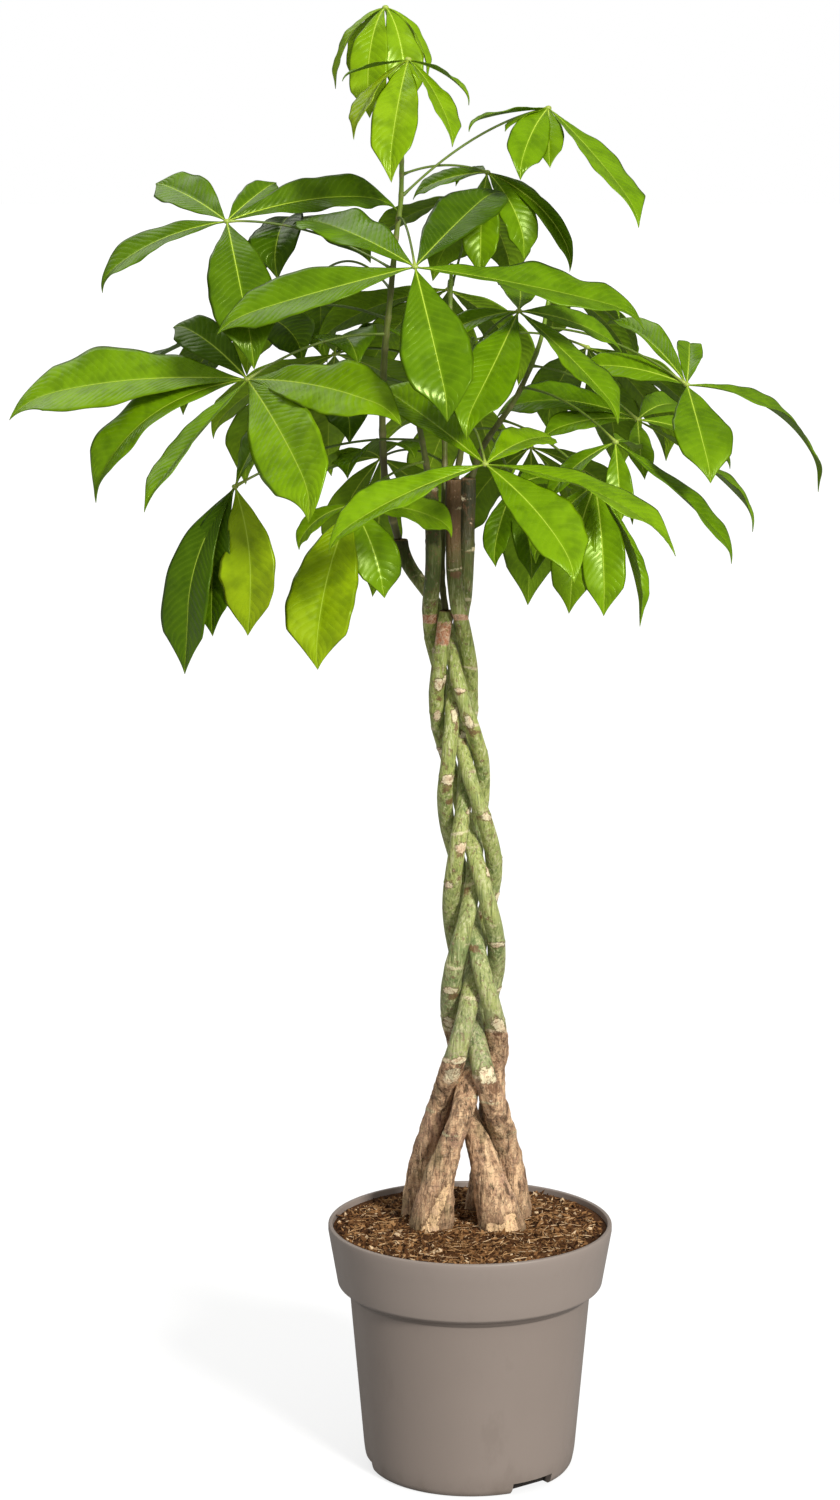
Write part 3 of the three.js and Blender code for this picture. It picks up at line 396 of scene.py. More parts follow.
class Skin:
    """Points, faces and painted values gathered for one object."""

    def __init__(self, *paints, boxed=True):
        self.boxed = boxed
        self.points = []
        self.quads = []
        self.triangles = []
        self.quad_slots = []
        self.triangle_slots = []
        self.paints = {name: [] for name in paints}
        self.count = 0

    def add(self, points, quads=(), triangles=(), slot=0, quad_slots=None, **paints):
        quads = np.asarray(quads, int).reshape(-1, 4)
        triangles = np.asarray(triangles, int).reshape(-1, 3)
        self.points.append(points)
        self.quads.append(quads + self.count)
        self.triangles.append(triangles + self.count)
        self.quad_slots.append(np.full(len(quads), slot) if quad_slots is None else quad_slots)
        self.triangle_slots.append(np.full(len(triangles), slot))
        for name, rows in self.paints.items():
            paint = np.asarray(paints.get(name, (0.0, 0.0, 0.0)), float)
            rows.append(np.broadcast_to(paint, (len(points), 3)))
        self.count += len(points)

    def add_tube(self, rings, slot=0, quad_slots=None, **paints):
        """A tube with closed ends. A paint has one value for all of it, or one for each of its points."""
        rows, sides = rings.shape[:2]
        for name, paint in paints.items():
            paints[name] = with_ends(paint) if np.ndim(paint) == 3 else paint
        self.add(with_ends(rings), ring_quads(rows, sides), fans(rows, sides), slot, quad_slots, **paints)

    def object(self, name, *materials):
        points = np.concatenate(self.points) * MM
        if self.boxed:
            points = np.clip(points, CAD_BOX[0], CAD_BOX[1])
        quads = np.concatenate(self.quads)
        triangles = np.concatenate(self.triangles)
        mesh = bpy.data.meshes.new(name)
        mesh.vertices.add(len(points))
        mesh.vertices.foreach_set("co", points.astype(np.float32).ravel())
        corners = np.concatenate([quads.ravel(), triangles.ravel()])
        mesh.loops.add(len(corners))
        mesh.loops.foreach_set("vertex_index", corners.astype(np.int32))
        starts = np.concatenate([4 * np.arange(len(quads)), 4 * len(quads) + 3 * np.arange(len(triangles))])
        mesh.polygons.add(len(starts))
        mesh.polygons.foreach_set("loop_start", starts.astype(np.int32))
        slots = np.concatenate(self.quad_slots + self.triangle_slots)
        mesh.polygons.foreach_set("material_index", slots.astype(np.int32))
        mesh.polygons.foreach_set("use_smooth", np.ones(len(starts), bool))
        for paint, rows in self.paints.items():
            values = np.concatenate(rows).astype(np.float32)
            mesh.attributes.new(paint, "FLOAT_VECTOR", "POINT").data.foreach_set("vector", values.ravel())
        mesh.update(calc_edges=True)
        mesh.validate()
        for material in materials:
            mesh.materials.append(material)
        return linked(name, mesh)


def linked(name, data):
    made = bpy.data.objects.new(name, data)
    bpy.context.scene.collection.objects.link(made)
    return made


def unit(vector):
    return vector / np.linalg.norm(vector)


def turned(degrees):
    return np.array([math.cos(degrees * DEG), math.sin(degrees * DEG), 0.0])


def circle(sides, way=1):
    """Level directions all round, anticlockwise unless the way is -1."""
    turn = way * TURN * np.arange(sides) / sides
    return np.stack([np.cos(turn), np.sin(turn), 0 * turn], -1)


def ring_quads(rows, sides):
    row = np.arange(rows - 1)[:, None]
    side = np.arange(sides)[None, :]
    after = (side + 1) % sides
    corners = (row * sides + side, row * sides + after, (row + 1) * sides + after, (row + 1) * sides + side)
    return np.stack(corners, -1).reshape(-1, 4)


def fans(rows, sides):
    """Triangles that close both ends of a tube with a point each, which follow the tube's own points."""
    side = np.arange(sides)
    after = (side + 1) % sides
    first = np.full(sides, rows * sides)
    end = (rows - 1) * sides
    low = np.stack([first, after, side], -1)
    high = np.stack([first + 1, end + side, end + after], -1)
    return np.concatenate([low, high])


def with_ends(rows):
    """The points or paints of a tube's rings, and the means of the first and the last ring."""
    return np.concatenate([rows.reshape(-1, 3), rows[0].mean(0)[None], rows[-1].mean(0)[None]])


def tube(line, radii, sides):
    """Rings along a line, carried along without twist."""
    along = np.gradient(line, axis=0)
    along /= np.linalg.norm(along, axis=1)[:, None]
    across = np.zeros_like(along)
    last = np.array([1.0, 0.0, 0.0]) if abs(along[0][0]) < 0.9 else np.array([0.0, 1.0, 0.0])
    for i, direction in enumerate(along):
        last = unit(last - direction * last.dot(direction))
        across[i] = last
    way = circle(sides)
    ring = way[:, :1] * across[:, None] + way[:, 1:2] * np.cross(along, across)[:, None]
    return line[:, None] + ring * radii[:, None, None]


def hump(distance):
    return np.exp(-(distance**2))


def smooth(value):
    value = np.clip(value, 0, 1)
    return value * value * (3 - 2 * value)


def centripetal(points, count):
    """A centripetal Catmull-Rom curve through the points."""
    points = np.array(points, float)
    padded = np.concatenate([[2 * points[0] - points[1]], points, [2 * points[-1] - points[-2]]])
    made = []
    for share in np.linspace(0, len(points) - 1, count):
        place = min(int(share), len(points) - 2)
        weight = share - place
        a, b, c, d = padded[place : place + 4]
        first, middle, last = (np.sum((q - p) ** 2) ** 0.25 for p, q in ((a, b), (b, c), (c, d)))
        start = ((b - a) / first - (c - a) / (first + middle) + (c - b) / middle) * middle
        end = ((c - b) / middle - (d - b) / (middle + last) + (d - c) / last) * middle
        cubic = (2 * b - 2 * c + start + end) * weight**3
        made.append(b + start * weight + (3 * c - 3 * b - 2 * start - end) * weight**2 + cubic)
    return np.array(made)


# ---------- node helpers ----------


class Graph:
    """A material's nodes."""

    def __init__(self, name):
        self.material = bpy.data.materials.new(name)
        self.material.use_nodes = True
        self.tree = self.material.node_tree
        self.tree.nodes.clear()
        self.output = self.tree.nodes.new("ShaderNodeOutputMaterial")

    def put(self, socket, value):
        if isinstance(value, bpy.types.NodeSocket):
            self.tree.links.new(value, socket)
        elif isinstance(value, (tuple, list)) and socket.type == "RGBA":
            socket.default_value = (*value[:3], 1.0)
        else:
            socket.default_value = value

    def node(self, kind, inputs=None, **settings):
        made = self.tree.nodes.new("ShaderNode" + kind)
        for key, value in settings.items():
            setattr(made, key, value)
        for key, value in (inputs or {}).items():
            self.put(made.inputs[key], value)
        return made

    def maths(self, operation, a, b=0.0):
        return self.node("Math", {0: a, 1: b}, operation=operation).outputs[0]

    def times(self, a, b):
        return self.maths("MULTIPLY", a, b)

    def plus(self, a, b):
        return self.maths("ADD", a, b)

    def minus(self, a, b):
        return self.maths("SUBTRACT", a, b)

    def range(self, value, low, high, to_low=0.0, to_high=1.0):
        inputs = {"Value": value, "From Min": low, "From Max": high, "To Min": to_low, "To Max": to_high}
        return self.node("MapRange", inputs, interpolation_type="SMOOTHSTEP").outputs[0]

    def mix(self, share, a, b, blend="MIX"):
        made = self.node("Mix", data_type="RGBA", blend_type=blend)
        for socket, value in ((made.inputs[0], share), (made.inputs[6], a), (made.inputs[7], b)):
            self.put(socket, value)
        return made.outputs[2]

    def layers(self, color, *rows):
        """Each row lays its colour on, up to its share, where its value goes from low to high."""
        for value, low, high, share, paint in rows:
            color = self.mix(self.range(value, low, high, 0.0, share), color, paint)
        return color

    def ramp(self, value, *stops):
        made = self.node("ValToRGB", {0: value})
        points = made.color_ramp.elements
        while len(points) < len(stops):
            points.new(0.5)
        for point, (place, color) in zip(points, stops):
            point.position = place
            point.color = (*color, 1.0)
        return made.outputs[0]

    def paint(self, name):
        made = self.node("Attribute", attribute_name=name)
        return self.parts(made.outputs["Vector"])

    def parts(self, vector):
        return self.node("SeparateXYZ", {0: vector}).outputs

    def place(self, *stretch):
        made = self.node("TexCoord").outputs["Object"]
        if stretch:
            made = self.node("Mapping", {"Vector": made, "Scale": stretch}).outputs[0]
        return made

    def noise(self, vector, scale, detail=3.0, roughness=0.55, distortion=0.0):
        inputs = {"Vector": vector, "Scale": scale, "Detail": detail, "Roughness": roughness,
                  "Distortion": distortion}
        return self.node("TexNoise", inputs).outputs[0]

    def cells(self, vector, scale, feature="F1"):
        return self.node("TexVoronoi", {"Vector": vector, "Scale": scale}, feature=feature).outputs[0]

    def bump(self, height, distance, strength):
        inputs = {"Height": height, "Distance": distance, "Strength": strength}
        return self.node("Bump", inputs).outputs[0]

    def finish(self, **inputs):
        shader = self.node("BsdfPrincipled", {key.replace("_", " "): value for key, value in inputs.items()})
        self.tree.links.new(shader.outputs[0], self.output.inputs[0])
        return self.material


# ---------- materials ----------


def leaf_finish(name, under):
    """Blades: lamina is the share across, the vein count and the distance to the midrib; growth is youth,
    partly painted light and shade, how yellow the blade is and the share along."""
    g = Graph(name)
    across, vein, from_rib = g.paint("lamina")
    youth, yellow, along = g.paint("growth")
    place = g.place()
    cloud = g.noise(place, 19.0, 3.0, 0.6)
    blotch = g.noise(place, 62.0, 2.0, 0.5)
    unrest = g.range(yellow, 0.0, 1.0, 0.42, 0.12)
    age = g.plus(youth, g.times(g.minus(cloud, 0.5), unrest))
    age = g.plus(age, g.times(g.minus(along, 0.5), 0.12))
    # Undersides: paler greens, as the real ones are, raised further as painted light in place of light that
    # shines through the blade.
    if under:
        blade = g.ramp(age, (0.0, (0.036, 0.086, 0.006)), (0.32, (0.092, 0.176, 0.008)),
                       (0.58, (0.142, 0.256, 0.01)), (0.8, (0.206, 0.338, 0.01)),
                       (1.0, (0.285, 0.425, 0.014)))
    else:
        blade = g.ramp(age, (0.0, (0.014, 0.044, 0.0015)), (0.32, (0.048, 0.11, 0.001)),
                       (0.6, (0.102, 0.212, 0.001)), (0.82, (0.16, 0.304, 0.0015)),
                       (1.0, (0.222, 0.374, 0.005)))
    sunned = g.mix(1.0, blade, (1.55, 1.12, 0.6), "MULTIPLY")
    blade = g.mix(g.times(yellow, 0.8), blade, sunned)
    wander = g.times(g.noise(place, 55.0, 2.0, 0.5), 0.9)
    wave = g.maths("ABSOLUTE", g.minus(g.maths("FRACT", g.plus(vein, wander)), 0.5))
    inside = g.range(across, 0.97, 0.66)
    lateral = g.times(g.range(wave, 0.43, 0.49), inside)
    ripple_and_lit_stripes = g.times(g.range(wave, 0.06, 0.48), inside)
    net = g.cells(place, 420.0, "DISTANCE_TO_EDGE")
    fine = g.range(net, 0.12, 0.0)
    pale = g.mix(0.5, blade, (0.3, 0.5, 0.01))
    color = g.mix(g.range(blotch, 0.4, 0.7, 0.0, 0.34), blade, (0.016, 0.05, 0.002))
    color = g.mix(g.times(fine, 0.05), color, pale)
    # Painted light: the blade is paler along the side veins and darker between them, for light caught by the
    # rippled blade.
    color = g.mix(g.times(ripple_and_lit_stripes, 0.14 if under else 0.09), color, pale)
    color = g.mix(g.times(lateral, 0.26 if under else 0.15), color, pale)
    reach = g.plus(from_rib, g.times(along, 0.5))
    color = g.layers(color,
                     (reach, 3.0, 0.8, 0.2, pale),
                     (reach, 0.8, 0.46, 1.0, (0.4, 0.54, 0.05)),
                     (across, 0.97, 1.0, 0.45, (0.15, 0.2, 0.008)))
    relief = g.times(ripple_and_lit_stripes, 0.4 if under else -0.44)
    relief = g.plus(relief, g.times(lateral, 0.25 if under else -0.25))
    quilt = g.noise(place, 60.0, 1.0, 0.4, 0.6)
    relief = g.plus(relief, g.times(quilt, 0.8))
    rough = g.range(cloud, 0.3, 0.7, 0.48, 0.6) if under else g.range(cloud, 0.3, 0.7, 0.25, 0.36)
    return g.finish(
        Base_Color=color,
        Roughness=rough,
        Normal=g.bump(relief, 0.0005, 0.8),
        Specular_IOR_Level=0.16 if under else 0.42,
        Specular_Tint=(0.8, 1.0, 0.36),
    )


def stalk_finish():
    """Petioles and hubs: growth x is youth, z how near the hub."""
    g = Graph("stalk")
    youth, _, near_hub = g.paint("growth")
    place = g.place()
    speckle = g.noise(place, 160.0, 4.0, 0.6)
    color = g.ramp(youth, (0.0, (0.05, 0.085, 0.01)), (0.7, (0.12, 0.185, 0.014)), (1.0, (0.23, 0.34, 0.02)))
    color = g.layers(color,
                     (near_hub, 0.86, 1.0, 1.0, (0.36, 0.45, 0.07)),
                     (speckle, 0.6, 0.72, 0.5, (0.14, 0.1, 0.035)))
    return g.finish(
        Base_Color=color,
        Roughness=g.range(speckle, 0.3, 0.7, 0.38, 0.52),
        Normal=g.bump(speckle, 0.0003, 0.5),
        Subsurface_Weight=0.2,
        Subsurface_Radius=(0.5, 1.0, 0.2),
        Subsurface_Scale=0.0012,
    )


def shoot_finish():
    """Green shoots: bark x is a scar, z the share of the way up."""
    g = Graph("shoot")
    scar, _, share = g.paint("bark")
    place = g.place()
    streak = g.noise(g.place(260.0, 260.0, 26.0), 1.0, 4.0, 0.6)
    cloud = g.noise(place, 30.0, 3.0, 0.55)
    color = g.ramp(share, (0.0, (0.09, 0.085, 0.024)), (0.4, (0.11, 0.13, 0.018)), (1.0, (0.19, 0.32, 0.015)))
    color = g.layers(color,
                     (streak, 0.45, 0.75, 0.3, (0.19, 0.22, 0.06)),
                     (cloud, 0.5, 0.68, 0.6, (0.09, 0.06, 0.022)))
    color = g.mix(g.times(scar, 0.8), color, (0.27, 0.23, 0.1))
    return g.finish(
        Base_Color=color,
        Roughness=g.range(streak, 0.3, 0.7, 0.42, 0.58),
        Normal=g.bump(streak, 0.0004, 0.6),
    )


def trunk_finish():
    """Braided trunks: bark x is a scar or peeled patch, y an orange ring, z brown bark; face x is a cut face
    and y its radius; marks x is the pale ring at a node and y a brown blotch; tint x is redness above the
    braid and y darkness."""
    g = Graph("trunk")
    scar, ring, bark = g.paint("bark")
    cut, rim, _ = g.paint("face")
    node, blotch, _ = g.paint("marks")
    redness, brownness, _ = g.paint("tint")
    place = g.place()
    height = g.parts(place)[2]
    cloud = g.noise(place, 26.0, 4.0, 0.6)
    mottle = g.noise(place, 135.0, 5.0, 0.68)
    crust = g.noise(place, 320.0, 4.0, 0.7, 0.8)
    streak = g.noise(g.place(420.0, 420.0, 30.0), 1.0, 4.0, 0.65, 0.5)
    crack = g.noise(g.place(240.0, 240.0, 44.0), 1.0, 5.0, 0.66, 0.8)
    hoop = g.noise(g.place(60.0, 60.0, 520.0), 1.0, 3.0, 0.6, 0.4)
    fissure = g.noise(g.place(130.0, 130.0, 26.0), 1.0, 4.0, 0.62, 0.6)
    fine = g.noise(place, 620.0, 3.0, 0.6)
    specks = g.cells(g.place(1.0, 1.0, 0.6), 210.0)
    dots = g.cells(g.place(1.0, 1.0, 1.3), 340.0)

    def frayed(value, amount):
        wild = g.plus(g.times(mottle, 0.5), g.times(crust, 0.5))
        return g.plus(value, g.times(g.minus(wild, 0.5), amount))

    green = g.ramp(g.range(height, 0.38, 0.95), (0.0, (0.26, 0.3, 0.125)), (0.35, (0.31, 0.365, 0.105)),
                   (0.82, (0.29, 0.35, 0.075)), (0.92, (0.12, 0.14, 0.032)), (1.0, (0.062, 0.058, 0.018)))
    green = g.layers(green,
                     (cloud, 0.38, 0.66, 0.65, (0.4, 0.44, 0.12)),
                     (cloud, 0.47, 0.32, 0.7, (0.135, 0.205, 0.058)),
                     (streak, 0.5, 0.64, 0.75, (0.56, 0.56, 0.29)),
                     (streak, 0.47, 0.36, 0.7, (0.082, 0.108, 0.032)),
                     (mottle, 0.57, 0.7, 0.5, (0.21, 0.155, 0.065)),
                     (specks, 0.19, 0.07, 0.65, (0.64, 0.61, 0.38)),
                     (dots, 0.14, 0.05, 0.5, (0.08, 0.07, 0.028)),
                     (height, 0.83, 0.87, 0.8, (0.066, 0.088, 0.016)))
    dark = g.mix(g.range(cloud, 0.4, 0.6, 0.0, 0.7), (0.032, 0.03, 0.012), (0.072, 0.06, 0.02))
    green = g.mix(g.times(g.range(height, 0.855, 0.905), brownness), green, dark)
    green = g.mix(g.times(g.range(height, 0.85, 0.9), redness), green, (0.12, 0.058, 0.026))
    low = g.range(height, 0.52, 0.4)
    worn = g.times(g.range(crust, 0.47, 0.62), low)
    green = g.mix(g.times(worn, 0.75), green, (0.47, 0.4, 0.26))
    brown = g.ramp(mottle, (0.3, (0.12, 0.066, 0.034)), (0.41, (0.3, 0.178, 0.1)),
                   (0.5, (0.51, 0.305, 0.172)), (0.59, (0.7, 0.465, 0.27)), (0.72, (0.85, 0.67, 0.44)))
    brown = g.layers(brown,
                     (crust, 0.56, 0.68, 0.7, (0.78, 0.62, 0.44)),
                     (cloud, 0.52, 0.64, 0.45, (0.28, 0.24, 0.11)),
                     (cloud, 0.46, 0.36, 0.5, (0.56, 0.33, 0.22)),
                     (fissure, 0.52, 0.64, 0.7, (0.9, 0.62, 0.36)),
                     (hoop, 0.43, 0.33, 0.45, (0.11, 0.072, 0.04)),
                     (fissure, 0.43, 0.36, 0.8, (0.075, 0.044, 0.022)),
                     (crack, 0.41, 0.34, 0.92, (0.045, 0.026, 0.014)),
                     (crust, 0.41, 0.32, 0.6, (0.08, 0.052, 0.028)),
                     (height, 0.27, 0.234, 0.4, (0.15, 0.098, 0.05)))
    color = g.mix(g.range(frayed(bark, 3.5), 0.4, 0.6), green, brown)
    band = g.times(g.range(bark, 0.08, 0.5), g.range(bark, 0.98, 0.6))
    orange = g.mix(g.range(crust, 0.4, 0.6), (0.4, 0.15, 0.066), (0.7, 0.48, 0.31))
    color = g.layers(color,
                     (frayed(band, 3.4), 0.45, 0.75, 0.8, (0.7, 0.56, 0.37)),
                     (frayed(blotch, 3.4), 0.42, 0.85, 0.8, (0.17, 0.08, 0.036)),
                     (frayed(node, 3.2), 0.4, 0.72, 0.9, (0.66, 0.59, 0.35)),
                     (frayed(ring, 3.0), 0.4, 0.65, 1.0, orange))
    scarred = frayed(scar, 3.6)
    halo = g.times(g.range(scarred, 0.1, 0.36), g.range(scarred, 0.62, 0.42, 0.0, 0.7))
    color = g.mix(halo, color, (0.17, 0.088, 0.04))
    pale = g.mix(g.range(height, 0.36, 0.28), (0.79, 0.7, 0.45), (0.86, 0.59, 0.32))
    pale = g.layers(pale,
                    (mottle, 0.5, 0.6, 0.55, (0.64, 0.4, 0.26)),
                    (crust, 0.5, 0.38, 0.75, (0.3, 0.165, 0.08)))
    color = g.mix(g.range(scarred, 0.42, 0.6), color, pale)
    sawn = g.ramp(rim, (0.0, (0.4, 0.27, 0.14)), (0.7, (0.28, 0.17, 0.08)), (0.9, (0.07, 0.04, 0.02)))
    color = g.mix(cut, color, g.mix(g.range(fine, 0.4, 0.6, 0.0, 0.5), sawn, (0.17, 0.1, 0.05)))
    relief = g.plus(g.times(streak, 0.7), g.times(fine, 0.35))
    rugged = g.plus(g.times(crust, 1.2), g.times(g.range(crack, 0.34, 0.5), 0.9))
    rugged = g.plus(rugged, g.times(g.range(fissure, 0.36, 0.6), 1.3))
    relief = g.plus(relief, g.times(rugged, g.range(bark, 0.3, 0.7, 0.3, 1.0)))
    relief = g.plus(relief, g.times(g.range(scarred, 0.35, 0.65), -0.5))
    return g.finish(
        Base_Color=color,
        Roughness=g.range(bark, 0.42, 0.58, 0.42, 0.85),
        Normal=g.bump(relief, 0.0012, 0.95),
        Specular_IOR_Level=0.3,
    )


def pot_finish():
    g = Graph("pot")
    place = g.place()
    height = g.parts(place)[2]
    grain = g.noise(place, 1400.0, 2.0, 0.5)
    cloud = g.noise(place, 9.0, 3.0, 0.5)
    smudge = g.noise(g.place(1.0, 1.0, 0.5), 26.0, 5.0, 0.65)
    color = g.mix(cloud, (0.204, 0.166, 0.141), (0.232, 0.19, 0.163))
    color = g.layers(color,
                     (smudge, 0.56, 0.72, 0.2, (0.13, 0.1, 0.078)),
                     # Painted light: the band above the bevel is lighter than the body below it.
                     (height, 0.176, 0.184, 0.55, (0.262, 0.218, 0.19)))
    # Painted shade: a dark line round the bevel under the band, where the band's ledge shades it.
    painted_ledge_shade = g.times(g.range(height, 0.17, 0.1735), g.range(height, 0.18, 0.1765))
    color = g.mix(g.times(painted_ledge_shade, 0.45), color, (0.06, 0.046, 0.036))
    dust = g.times(g.range(height, 0.03, 0.0), g.range(smudge, 0.4, 0.6, 0.0, 0.35))
    color = g.mix(dust, color, (0.12, 0.09, 0.066))
    # Painted shade: near black inside the foot ring and low down, on the notch housings and the pot's
    # underside, where shade falls.
    out = g.node("VectorMath", {0: g.place(1.0, 1.0, 0.0)}, operation="LENGTH").outputs["Value"]
    painted_notch_shade = g.times(g.range(out, 0.0935, 0.0885), g.range(height, 0.0138, 0.0128))
    color = g.mix(painted_notch_shade, color, (0.016, 0.012, 0.01))
    flow = g.noise(g.place(1.0, 1.0, 0.15), 60.0, 2.0, 0.5)
    relief = g.plus(g.times(grain, 0.5), g.times(flow, 0.6))
    return g.finish(
        Base_Color=color,
        Roughness=g.range(smudge, 0.35, 0.7, 0.42, 0.54),
        Normal=g.bump(relief, 0.00022, 0.7),
        Specular_IOR_Level=0.45,
    )


def soil_finish():
    """Soil: growth x is the crumb's kind from dark to pale, y how much darker it is made: darker crumbs,
    and painted shade in the hollows round the feet.
    """
    g = Graph("soil")
    kind, shade, _ = g.paint("growth")
    place = g.place()
    crumbs = g.noise(place, 420.0, 5.0, 0.7)
    value = g.plus(kind, g.times(g.minus(crumbs, 0.5), 0.35))
    color = g.ramp(value, (0.0, (0.018, 0.007, 0.003)), (0.3, (0.094, 0.038, 0.012)),
                   (0.55, (0.228, 0.108, 0.038)), (0.78, (0.42, 0.245, 0.108)), (1.0, (0.68, 0.51, 0.32)))
    # Darker crumbs, and painted shade in the hollows round the feet.
    color = g.mix(g.times(shade, 0.55), color, (0.022, 0.009, 0.004))
    return g.finish(
        Base_Color=color,
        Roughness=g.range(crumbs, 0.3, 0.7, 0.8, 0.95),
        Normal=g.bump(crumbs, 0.0012, 0.9),
        Specular_IOR_Level=0.15,
    )


LEAF_TOP = leaf_finish("leaf_top", False)
LEAF_UNDER = leaf_finish("leaf_under", True)
STALK = stalk_finish()
SHOOT = shoot_finish()
TRUNK = trunk_finish()
POT = pot_finish()
SOIL = soil_finish()


def place_piece(piece, node):
    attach(piece, "root")
    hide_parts(node)


# ---------- pot ----------


def rounded(profile, corners):
    """A profile of (radius, height) with some of its corners rounded: {index: radius}."""
    made = []
    for i, point in enumerate(profile):
        size = corners.get(i)
        if not size:
            made.append(point)
            continue
        point = np.array(point, float)
        before = unit(np.array(profile[i - 1]) - point)
        after = unit(np.array(profile[i + 1]) - point)
        for share in np.linspace(0, 1, ROUNDING_STEPS):
            start = point + before * size * (1 - share)
            end = point + after * size * share
            made.append(tuple(start * (1 - share) + end * share))
    return made


def floor_profile(lift):
    return [
        (0.0, lift),
        (CENTRE_DISC_RADIUS, lift),
        (CENTRE_DISC_RADIUS + FLOOR_SLOPE, lift + FLOOR_LIFT),
        (FOOT_RING_RADIUS - FLOOR_SLOPE, lift + FLOOR_LIFT),
        (FOOT_RING_RADIUS, lift),
    ]


def pot_profile():
    """The pot's section, from the middle of its foot out, over the lip and back to its floor's middle."""
    # Radius, height and rounding of each corner.
    outside = (
        (FOOT_RADIUS, 0, 1.5),
        (FOOT_RADIUS + FOOT_CHAMFER[0], FOOT_CHAMFER[1], 3),
        (*BODY_FOOT, 6),
        (*BEVEL_FOOT, 0.8),
        (*BAND_FOOT, 1.6),
        (RIM_RADIUS, POT_HEIGHT - 2 * RIM_ROLL, 0),
        (RIM_RADIUS, POT_HEIGHT, 2.0),
        (RIM_RADIUS - LIP_BACK, POT_HEIGHT, 1.3),
        (RIM_RADIUS - LIP_BACK, POT_HEIGHT - 2 * RIM_ROLL, 0),
    )
    floor = floor_profile(0)
    corners = {len(floor) + i: corner[2] for i, corner in enumerate(outside)}
    inside = floor_profile(FLOOR_THICKNESS) + [(FOOT_RADIUS - WALL, FLOOR_THICKNESS)]
    inside += [(radius - WALL, height) for radius, height in (BODY_FOOT, BODY_TOP, BAND_FOOT)]
    return rounded(floor + [corner[:2] for corner in outside], corners) + inside[::-1]


def make_pot():
    profile = np.array(pot_profile(), float)[1:-1]
    # Long stretches of wall get rings of their own, so that the finish lies evenly.
    rows = [profile[0]]
    for point in profile[1:]:
        parts = max(1, int(np.linalg.norm(point - rows[-1]) / POT_RING_SPACING))
        start = rows[-1]
        rows.extend(start + (point - start) * (k + 1) / parts for k in range(parts))
    rows = np.array(rows)[:, None]
    skin = Skin()
    skin.add_tube(rows[..., :1] * circle(POT_SIDES, -1) + rows[..., 1:] * UP)
    pot = skin.object("nursery_pot", POT)
    for degrees in NOTCH_TURNS:
        combine(pot, notch_housing(degrees), "UNION")
        combine(pot, notch_box(degrees, 0), "DIFFERENCE")
    for i in range(DRAIN_COUNT):
        combine(pot, drain_round(360 / DRAIN_COUNT * i), "DIFFERENCE")
    pot.data.set_sharp_from_angle(angle=POT_CREASE * DEG)
    place_piece(pot, "pot")


def combine(piece, tool, operation):
    """Joins, cuts or crops a piece with another closed body, which is used up."""
    step = piece.modifiers.new("step", "BOOLEAN")
    step.operation = operation
    step.solver = "EXACT"
    step.object = tool
    graph = bpy.context.evaluated_depsgraph_get()
    mesh = bpy.data.meshes.new_from_object(piece.evaluated_get(graph))
    old = piece.data
    piece.modifiers.clear()
    piece.data = mesh
    bpy.data.meshes.remove(old)
    bpy.data.objects.remove(tool)


def tool_body(low, high):
    skin = Skin(boxed=False)
    skin.add_tube(np.stack([low, high]))
    return skin.object("tool")


def notch_box(degrees, wall):
    """The space of a notch, grown by its housing's wall on every side but the outer one."""
    out = turned(degrees)
    side = np.array([-out[1], out[0], 0.0]) * (NOTCH_WIDTH / 2 + wall)
    near = NOTCH_FACE - wall
    far = near + NOTCH_CUT
    ring = np.array([out * near - side, out * far - side, out * far + side, out * near + side])
    rise = UP * (NOTCH_HEIGHT + wall)
    return tool_body(ring - rise, ring + rise)


def notch_housing(degrees):
    ring = circle(POT_SIDES)
    low = ring * (FOOT_RADIUS - WALL / 2) + UP * FLOOR_THICKNESS / 2
    high = ring * (BODY_FOOT[0] - WALL / 2) + UP * BODY_FOOT[1]
    housing = notch_box(degrees, WALL)
    combine(housing, tool_body(low, high), "INTERSECT")
    return housing


def drain_round(degrees):
    ring = circle(DRAIN_SIDES) * DRAIN_RADIUS + turned(degrees) * DRAIN_CIRCLE_RADIUS
    return tool_body(ring - UP * DRAIN_CUT / 2, ring + UP * DRAIN_CUT / 2)


# ---------- trunks ----------


def read_at(pairs, heights):
    return np.interp(heights, [p[0] for p in pairs], [p[1] for p in pairs])


def braid_line(place, top, z):
    """Middle of a trunk at each height in the braid and above it."""
    rate = 360 / BRAID_PERIOD
    settled = rate * BRAID_SETTLE * (1 - np.exp(np.minimum(BRAID_TOP_Z - z, 0) / BRAID_SETTLE))
    turn = (place + rate * (np.minimum(z, BRAID_TOP_Z) - BRAID_FOOT_Z) + settled) * DEG
    swing = read_at(BRAID_ROOM, z) * (2 * read_at(TRUNK_RADII, z) + BRAID_GAP)
    wide = (np.cos(turn) + BRAID_SQUARENESS * np.cos(3 * turn)) / (1 + BRAID_SQUARENESS)
    line = np.stack([read_at(BRAID_MIDDLE, z) + swing * wide, -swing * np.sin(2 * turn)], -1)
    rise = smooth((z - TOP_BEND_Z) / (top[2] - TOP_BEND_Z))[:, None]
    line = line + (np.array(top[:2]) - line) * rise
    return np.concatenate([line, z[:, None]], -1)


